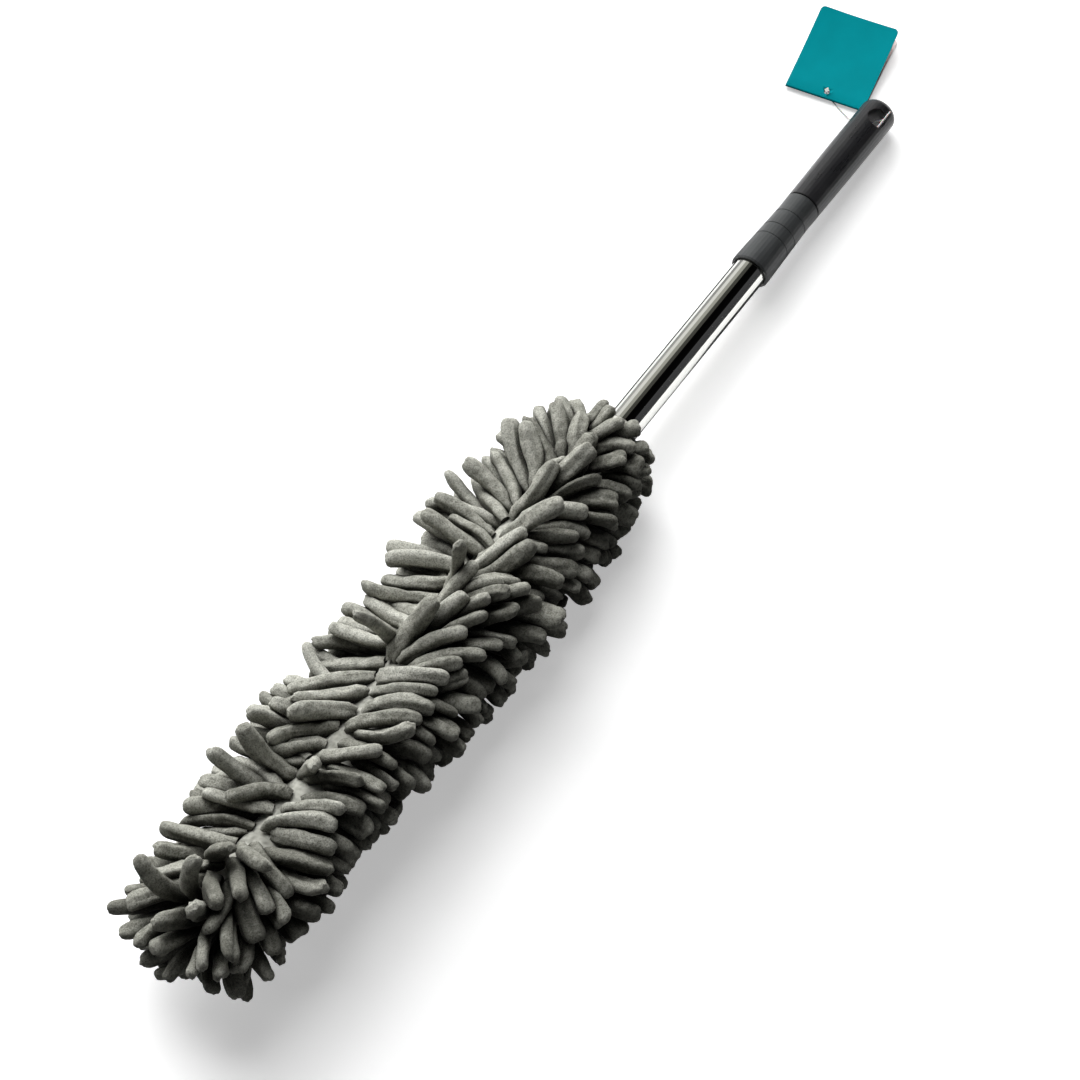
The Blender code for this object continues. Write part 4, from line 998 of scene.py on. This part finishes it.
def elastic_ribs(angle, station):
    """The fine ribs of braided elastic."""
    return RIB_DEPTH * math.sin(ELASTIC_RIBS * angle)


hem = mesh_piece("gathered_hem", turned(hem_outline, HEM_SIDES, gather), knit, HEM_SHARPNESS)
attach(hem, "pole")
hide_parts("sleeve_hem")

elastic, tree, shader, place = surface("elastic_braided_black", {
    "Roughness": 0.8, "Sheen Weight": 0.3})
threads = add(tree, NOISE, {"Vector": place, "Scale": 1.0 / THREAD_SIZE, "Detail": 1.0})
tone = add(tree, RAMP, {"Fac": threads}, [(0.35, "#2b2b2b"), (0.65, "#4a4a48")])
relief = add(tree, BUMP, {"Height": threads, "Distance": 0.2 * MM})
feed(shader, {"Base Color": tone, "Normal": relief})
band_radius = HEM_NECK_BORE + HEM_WALL + ELASTIC_GAP + ELASTIC_RADIUS
band_outline = [(HEM_START + ELASTIC_RADIUS * (1.0 + math.sin(TURN * i / ELASTIC_SIDES)),
                 band_radius + ELASTIC_RADIUS * math.cos(TURN * i / ELASTIC_SIDES))
                for i in range(ELASTIC_SIDES)]
band = mesh_piece("elastic_cord", turned(band_outline, ELASTIC_STEPS, elastic_ribs), elastic)
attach(band, "pole")
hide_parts("elastic_band")
print("hem and elastic:", len(hem.data.polygons) + len(band.data.polygons), "faces")

# %% [markdown]
# ## Foam core
# The wire inside the head runs in a rod of open foam, which gives the head its fullness.
# It is cut, not moulded, so its skin is full of small open cells, which a Voronoi texture
# draws on a turned rod. The sleeve is a sheet of cloth stretched over it.

# %% Foam core
CORE_START = 303.9 * MM
CORE_END = 603.9 * MM
CORE_RADIUS = 14.5 * MM
WIRE_BORE = 2.3 * MM
CORE_EDGE = 0.6 * MM
CORE_SIDES = 40
CELL_SIZE = 1.2 * MM

foam, tree, shader, place = surface("polyurethane_foam_cut", {
    "Roughness": 0.95, "Specular IOR Level": 0.2})
cells = add(tree, "ShaderNodeTexVoronoi", {"Vector": place, "Scale": 1.0 / CELL_SIZE})
tone = add(tree, RAMP, {"Fac": cells}, [(0.1, "#8f8f88"), (0.5, "#bcbcb3")])
relief = add(tree, BUMP, {"Height": cells, "Distance": 0.5 * MM})
feed(shader, {"Base Color": tone, "Normal": relief})
rod = [(CORE_START, WIRE_BORE), (CORE_START, CORE_RADIUS - CORE_EDGE),
       (CORE_START + CORE_EDGE, CORE_RADIUS)]
rod += [(CORE_START + (CORE_END - CORE_START) * share, CORE_RADIUS)
        for share in (0.25, 0.5, 0.75)]
rod += [(CORE_END - CORE_EDGE, CORE_RADIUS), (CORE_END, CORE_RADIUS - CORE_EDGE),
        (CORE_END, WIRE_BORE)]
core = mesh_piece("foam_rod", turned(rod, CORE_SIDES), foam)
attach(core, "pole")
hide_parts("core_foam")
print("foam rod:", len(core.data.polygons), "faces")

# %% [markdown]
# ## Moulded plastics
# The grip is glossy black polypropylene. Its mould was polished, so it mirrors softly, and
# small waves left by cooling make its highlights wander. The collar is the same plastic
# coloured grey, from a mould with a fine spark-eroded texture that turns gloss to satin.
# The socket and the core's tip cap are plain black, and the parts of the lock are natural
# acetal, which is milky and looks a little waxy. All are one recipe with other numbers:
# colour, roughness and the height of the waves and of the mould's grit.

# %% Plastics
WIPE_SIZE = 9.0 * MM
WIPE_STRETCH = (0.25, 1.0, 1.0)
GRIT_SIZE = 0.35 * MM
GLOSSIER, DULLER = 0.8, 1.25


def plastic(name, dark_code, light_code, roughness, wave_size, wave_height, grit_height):
    """Injection moulded plastic with cooling waves, mould grit and patchy gloss."""
    material, tree, shader, place = surface(name, {"IOR": 1.49})
    wiped = add(tree, MAPPING, {"Vector": place, "Scale": WIPE_STRETCH})
    wipe = add(tree, NOISE, {"Vector": wiped, "Scale": 1.0 / WIPE_SIZE, "Detail": 4.0,
                             "Roughness": 0.65})
    tone = add(tree, RAMP, {"Fac": wipe}, [(0.35, dark_code), (0.7, light_code)])
    gloss = add(tree, RANGE, {"Value": wipe, "From Min": 0.3, "From Max": 0.7,
                              "To Min": roughness * GLOSSIER, "To Max": roughness * DULLER})
    wave = add(tree, NOISE, {"Vector": place, "Scale": 1.0 / wave_size, "Detail": 1.0})
    low = add(tree, BUMP, {"Height": wave, "Distance": wave_height})
    grit = add(tree, NOISE, {"Vector": place, "Scale": 1.0 / GRIT_SIZE})
    fine = add(tree, BUMP, {"Height": grit, "Distance": grit_height, "Normal": low})
    feed(shader, {"Base Color": tone, "Roughness": gloss, "Normal": fine})
    return material


def finish(material, *names):
    """Give CAD nodes a material, and say which."""
    for name in names:
        nodes[name].material_slots[0].material = material
    print(material.name, "on", ", ".join(names))


grip_plastic = plastic("polypropylene_moulded_gloss_black", "#28282a", "#323234", 0.3,
                       14.0 * MM, 0.12 * MM, 0.004 * MM)
collar_plastic = plastic("polypropylene_moulded_satin_grey", "#414344", "#4b4d4e", 0.42,
                         16.0 * MM, 0.06 * MM, 0.02 * MM)
socket_plastic = plastic("polypropylene_moulded_black", "#1c1c1d", "#262627", 0.45,
                         12.0 * MM, 0.05 * MM, 0.02 * MM)
acetal = plastic("acetal_moulded_natural", "#d9d8ce", "#e6e5dc", 0.38, 10.0 * MM,
                 0.03 * MM, 0.008 * MM)
finish(grip_plastic, "grip")
finish(collar_plastic, "grip_collar")
finish(socket_plastic, "head_socket", "core_tip_cap")
finish(acetal, "tube_mouth_bush", "guide_ring", "lock_plug", "cam_ring", "lock_end_cap")

# %% [markdown]
# ## Chromed and bare steel
# The tube is welded steel, polished and chrome plated: a clean mirror with faint draw
# lines along it and a few smudges. Metallic is 1 and roughness is low, so nearly all of
# its look is what it mirrors. The wire, rivet, pin and screw are plain steel, rougher,
# with fine lines from drawing and turning.

# %% Metals
LINE_SIZE = 1.0 * MM
LINE_STRETCH = (0.02, 1.0, 1.0)
SMUDGE_SIZE = 12.0 * MM


def metal(name, code, roughness, smudge, line_height):
    """Steel with lines along the duster and smudges that dull it."""
    material, tree, shader, place = surface(name, {"Metallic": 1.0,
                                                   "Base Color": colour(code)})
    drawn = add(tree, MAPPING, {"Vector": place, "Scale": LINE_STRETCH})
    lines = add(tree, NOISE, {"Vector": drawn, "Scale": 1.0 / LINE_SIZE})
    relief = add(tree, BUMP, {"Height": lines, "Distance": line_height, "Strength": 0.3})
    marks = add(tree, NOISE, {"Vector": place, "Scale": 1.0 / SMUDGE_SIZE, "Detail": 5.0,
                              "Roughness": 0.7})
    dull = add(tree, RANGE, {"Value": marks, "From Min": 0.4, "From Max": 0.75,
                             "To Min": roughness, "To Max": roughness + smudge})
    feed(shader, {"Roughness": dull, "Normal": relief})
    return material


chrome = metal("steel_tube_chrome_plated", "#e6e6e2", 0.045, 0.05, 0.004 * MM)
steel = metal("steel_drawn_bare", "#b4b4b0", 0.28, 0.12, 0.02 * MM)
finish(chrome, "outer_tube", "inner_tube")
finish(steel, "core_wire", "socket_rivet", "plug_pin", "lock_screw")

# %% [markdown]
# ## Printed and bare board
# The card tag is printed board. Its outside is printed teal with a silk varnish, dull
# enough to show no lamp, over the faint relief of the fibres. Its inside and cut edges are
# the bare board, paler and rough. Its face is left bare.

# %% Card materials
TEAL_CLOUD = 16.0 * MM
TEAL_FIBRE = 0.9 * MM
BARE_FIBRE = 0.6 * MM

teal, tree, shader, place = surface("board_printed_teal_silk", {
    "IOR": 1.5, "Specular IOR Level": 0.05})
cloud = add(tree, NOISE, {"Vector": place, "Scale": 1.0 / TEAL_CLOUD})
tone = add(tree, RAMP, {"Fac": cloud}, [(0.3, "#009aa5"), (0.7, "#00a0ac")])
fibre = add(tree, NOISE, {"Vector": place, "Scale": 1.0 / TEAL_FIBRE, "Detail": 3.0})
silk = add(tree, RANGE, {"Value": fibre, "From Min": 0.3, "From Max": 0.7, "To Min": 0.5,
                         "To Max": 0.62})
relief = add(tree, BUMP, {"Height": fibre, "Distance": 0.015 * MM})
feed(shader, {"Base Color": tone, "Roughness": silk, "Normal": relief})

board, tree, shader, place = surface("board_uncoated_pale", {
    "Roughness": 0.85, "Specular IOR Level": 0.2})
fibre = add(tree, NOISE, {"Vector": place, "Scale": 1.0 / BARE_FIBRE, "Detail": 4.0,
                          "Roughness": 0.7})
tone = add(tree, RAMP, {"Fac": fibre}, [(0.35, "#ead9d6"), (0.65, "#f4e9e6")])
relief = add(tree, BUMP, {"Height": fibre, "Distance": 0.03 * MM})
feed(shader, {"Base Color": tone, "Normal": relief})
print("made", teal.name, "and", board.name)

# %% [markdown]
# ## Card tag
# The tag is one strip of board, folded so that its two leaves gape a little. The leaves of
# a real card are never quite flat, so each is a fine grid that bows slightly, with rounded
# free corners and a punched hole. The strip is built row by row, from one free edge round
# the fold to the other, and the hole is cut by taking a cylinder away, as a punch does.

# %% Rows of the leaves and the fold
CARD_LEAF = 57.0 * MM
CARD_THICK = 0.45 * MM
CARD_FOLD = 0.4 * MM
CARD_OPENING = math.radians(8.5)
CARD_BOWS = (0.35 * MM, -0.9 * MM)
CARD_CURLS = (0.15 * MM, 0.5 * MM)


def leaf_row(distance, opened):
    """Outer and inner point of a leaf at a distance from its fold, and its bulge's way."""
    turn = CARD_OPENING if opened else 0.0
    way = Vector((math.cos(turn), 0.0, math.sin(turn)))
    normal = Vector((-math.sin(turn), 0.0, math.cos(turn)))
    centre = Vector((1.0, 0.0, 1.0)) * (CARD_FOLD + CARD_THICK)
    start = centre + normal * (1.0 if opened else -1.0) * (CARD_FOLD + CARD_THICK)
    inward = normal * (-CARD_THICK if opened else CARD_THICK)
    bow = CARD_BOWS[opened] * math.sin(math.pi * distance / CARD_LEAF)
    point = start + way * distance + normal * bow
    return point, point + inward, normal * CARD_CURLS[opened] * distance / CARD_LEAF


def fold_row(turn):
    """Outer and inner point round the fold."""
    centre = Vector((1.0, 0.0, 1.0)) * (CARD_FOLD + CARD_THICK)
    spoke = Vector((-math.sin(turn), 0.0, -math.cos(turn)))
    return (centre + spoke * (CARD_FOLD + CARD_THICK), centre + spoke * CARD_FOLD,
            Vector((0.0, 0.0, 0.0)))


gape = leaf_row(CARD_LEAF, True)[0] - leaf_row(CARD_LEAF, False)[0]
print("free edges gape by", round(gape.length / MM, 1), "mm")

# %% Strip of board
CARD_HALF = 23.2 * MM
CARD_CORNER = 2.6 * MM
CORNER_SHARES = (0.0, 0.07, 0.25, 0.55, 1.0)
LEAF_SHARES = (0.85, 0.7, 0.55, 0.4, 0.25, 0.12, 0.0)
FOLD_STEPS = 8
CARD_COLUMNS = 12


def card_mesh():
    """One strip of board with two leaves. Material 0 is its outside, 1 all the rest."""
    reach = CARD_LEAF - CARD_FOLD - CARD_THICK
    distances = [reach - CARD_CORNER * share for share in CORNER_SHARES]
    distances += [reach * share for share in LEAF_SHARES]
    rows = [(*leaf_row(distance, False), reach - distance) for distance in distances]
    sweep = math.pi - CARD_OPENING
    rows += [(*fold_row(sweep * step / FOLD_STEPS), reach)
             for step in range(1, FOLD_STEPS)]
    rows += [(*leaf_row(distance, True), reach - distance) for distance in distances[::-1]]
    solid = bmesh.new()
    sides = np.linspace(-1.0, 1.0, CARD_COLUMNS + 1)
    grid = []
    for outer, inner, curl, inset in rows:
        missing = max(0.0, CARD_CORNER - inset)
        half = CARD_HALF - CARD_CORNER + math.sqrt(CARD_CORNER ** 2 - missing ** 2)
        grid.append([[solid.verts.new(point + curl * side ** 2 + Vector((0, half * side, 0)))
                      for side in sides] for point in (outer, inner)])
    for (outer, inner), (outer_next, inner_next) in zip(grid, grid[1:]):
        for i in range(CARD_COLUMNS):
            solid.faces.new((outer[i], outer[i + 1], outer_next[i + 1], outer_next[i]))
            face = solid.faces.new((inner[i], inner_next[i], inner_next[i + 1], inner[i + 1]))
            face.material_index = 1
        for i in (0, CARD_COLUMNS):
            face = solid.faces.new((outer[i], outer_next[i], inner_next[i], inner[i]))
            face.material_index = 1
    for outer, inner in (grid[0], grid[-1]):
        for i in range(CARD_COLUMNS):
            face = solid.faces.new((outer[i], inner[i], inner[i + 1], outer[i + 1]))
            face.material_index = 1
    return solid


solid = card_mesh()
print("strip of board:", len(solid.faces), "faces")

# %% Card in its place
CARD_TURN = math.radians(10.0)
CARD_LIFT = 1.2
CARD_REACH = Vector((-4.6, 33.9, CARD_LIFT)) * MM
CARD_PITCH = math.asin(CARD_LIFT * MM / CARD_LEAF)

card_at = Matrix.Translation(Vector((LAY.translation.x, LAY.translation.y, 0.0)) + CARD_REACH)
card_at = (card_at @ Matrix.Rotation(CARD_TURN, 4, "Z")
           @ Matrix.Rotation(CARD_PITCH, 4, "Y"))
bmesh.ops.transform(solid, matrix=card_at, verts=solid.verts)
card = mesh_piece("folded_card", solid, teal)
card.data.materials.append(board)
print("fold's middle is at", [round(value, 3) for value in card_at.translation])

# %% Punched hole
PUNCH_INSET = 4.3 * MM
PUNCH_RADIUS = 1.6 * MM
PUNCH_SIDES = 24


def punched(obj, cutter):
    """Cut a body out of an object, and keep the result as a plain mesh."""
    modifier = obj.modifiers.new("punch", "BOOLEAN")
    modifier.object, modifier.solver = cutter, "EXACT"
    depsgraph = bpy.context.evaluated_depsgraph_get()
    mesh = bpy.data.meshes.new_from_object(obj.evaluated_get(depsgraph))
    obj.modifiers.clear()
    obj.data = mesh
    bpy.data.objects.remove(cutter)


solid = bmesh.new()
bmesh.ops.create_cone(solid, segments=PUNCH_SIDES, radius1=PUNCH_RADIUS, radius2=PUNCH_RADIUS,
                      depth=CARD_LEAF, cap_ends=True,
                      matrix=card_at @ Matrix.Translation((PUNCH_INSET, 0.0, 0.0)))
punched(card, mesh_piece("card_punch", solid, board))
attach(card, "tag")
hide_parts("hang_tag")
print("card:", len(card.data.polygons), "faces")

# %% [markdown]
# ## Nylon pin
# The pin that ties the card to the grip is one small moulding of clear nylon. Light goes a
# little way into it, which Principled's subsurface gives, and its flow left pale streaks.

# %% Nylon pin
STREAK_SIZE = 0.6 * MM

nylon, tree, shader, place = surface("nylon_moulded_clear", {
    "Roughness": 0.3, "IOR": 1.53, "Subsurface Weight": 0.3, "Subsurface Scale": 0.5 * MM})
streak = add(tree, NOISE, {"Vector": place, "Scale": 1.0 / STREAK_SIZE, "Detail": 1.0})
feed(shader, {"Base Color": add(tree, RAMP, {"Fac": streak}, [
    (0.3, "#e4e4df"), (0.7, "#f4f4f0")])})
finish(nylon, "tag_pin_bar", "tag_pin_tail")

# %% Sizes
low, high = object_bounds()
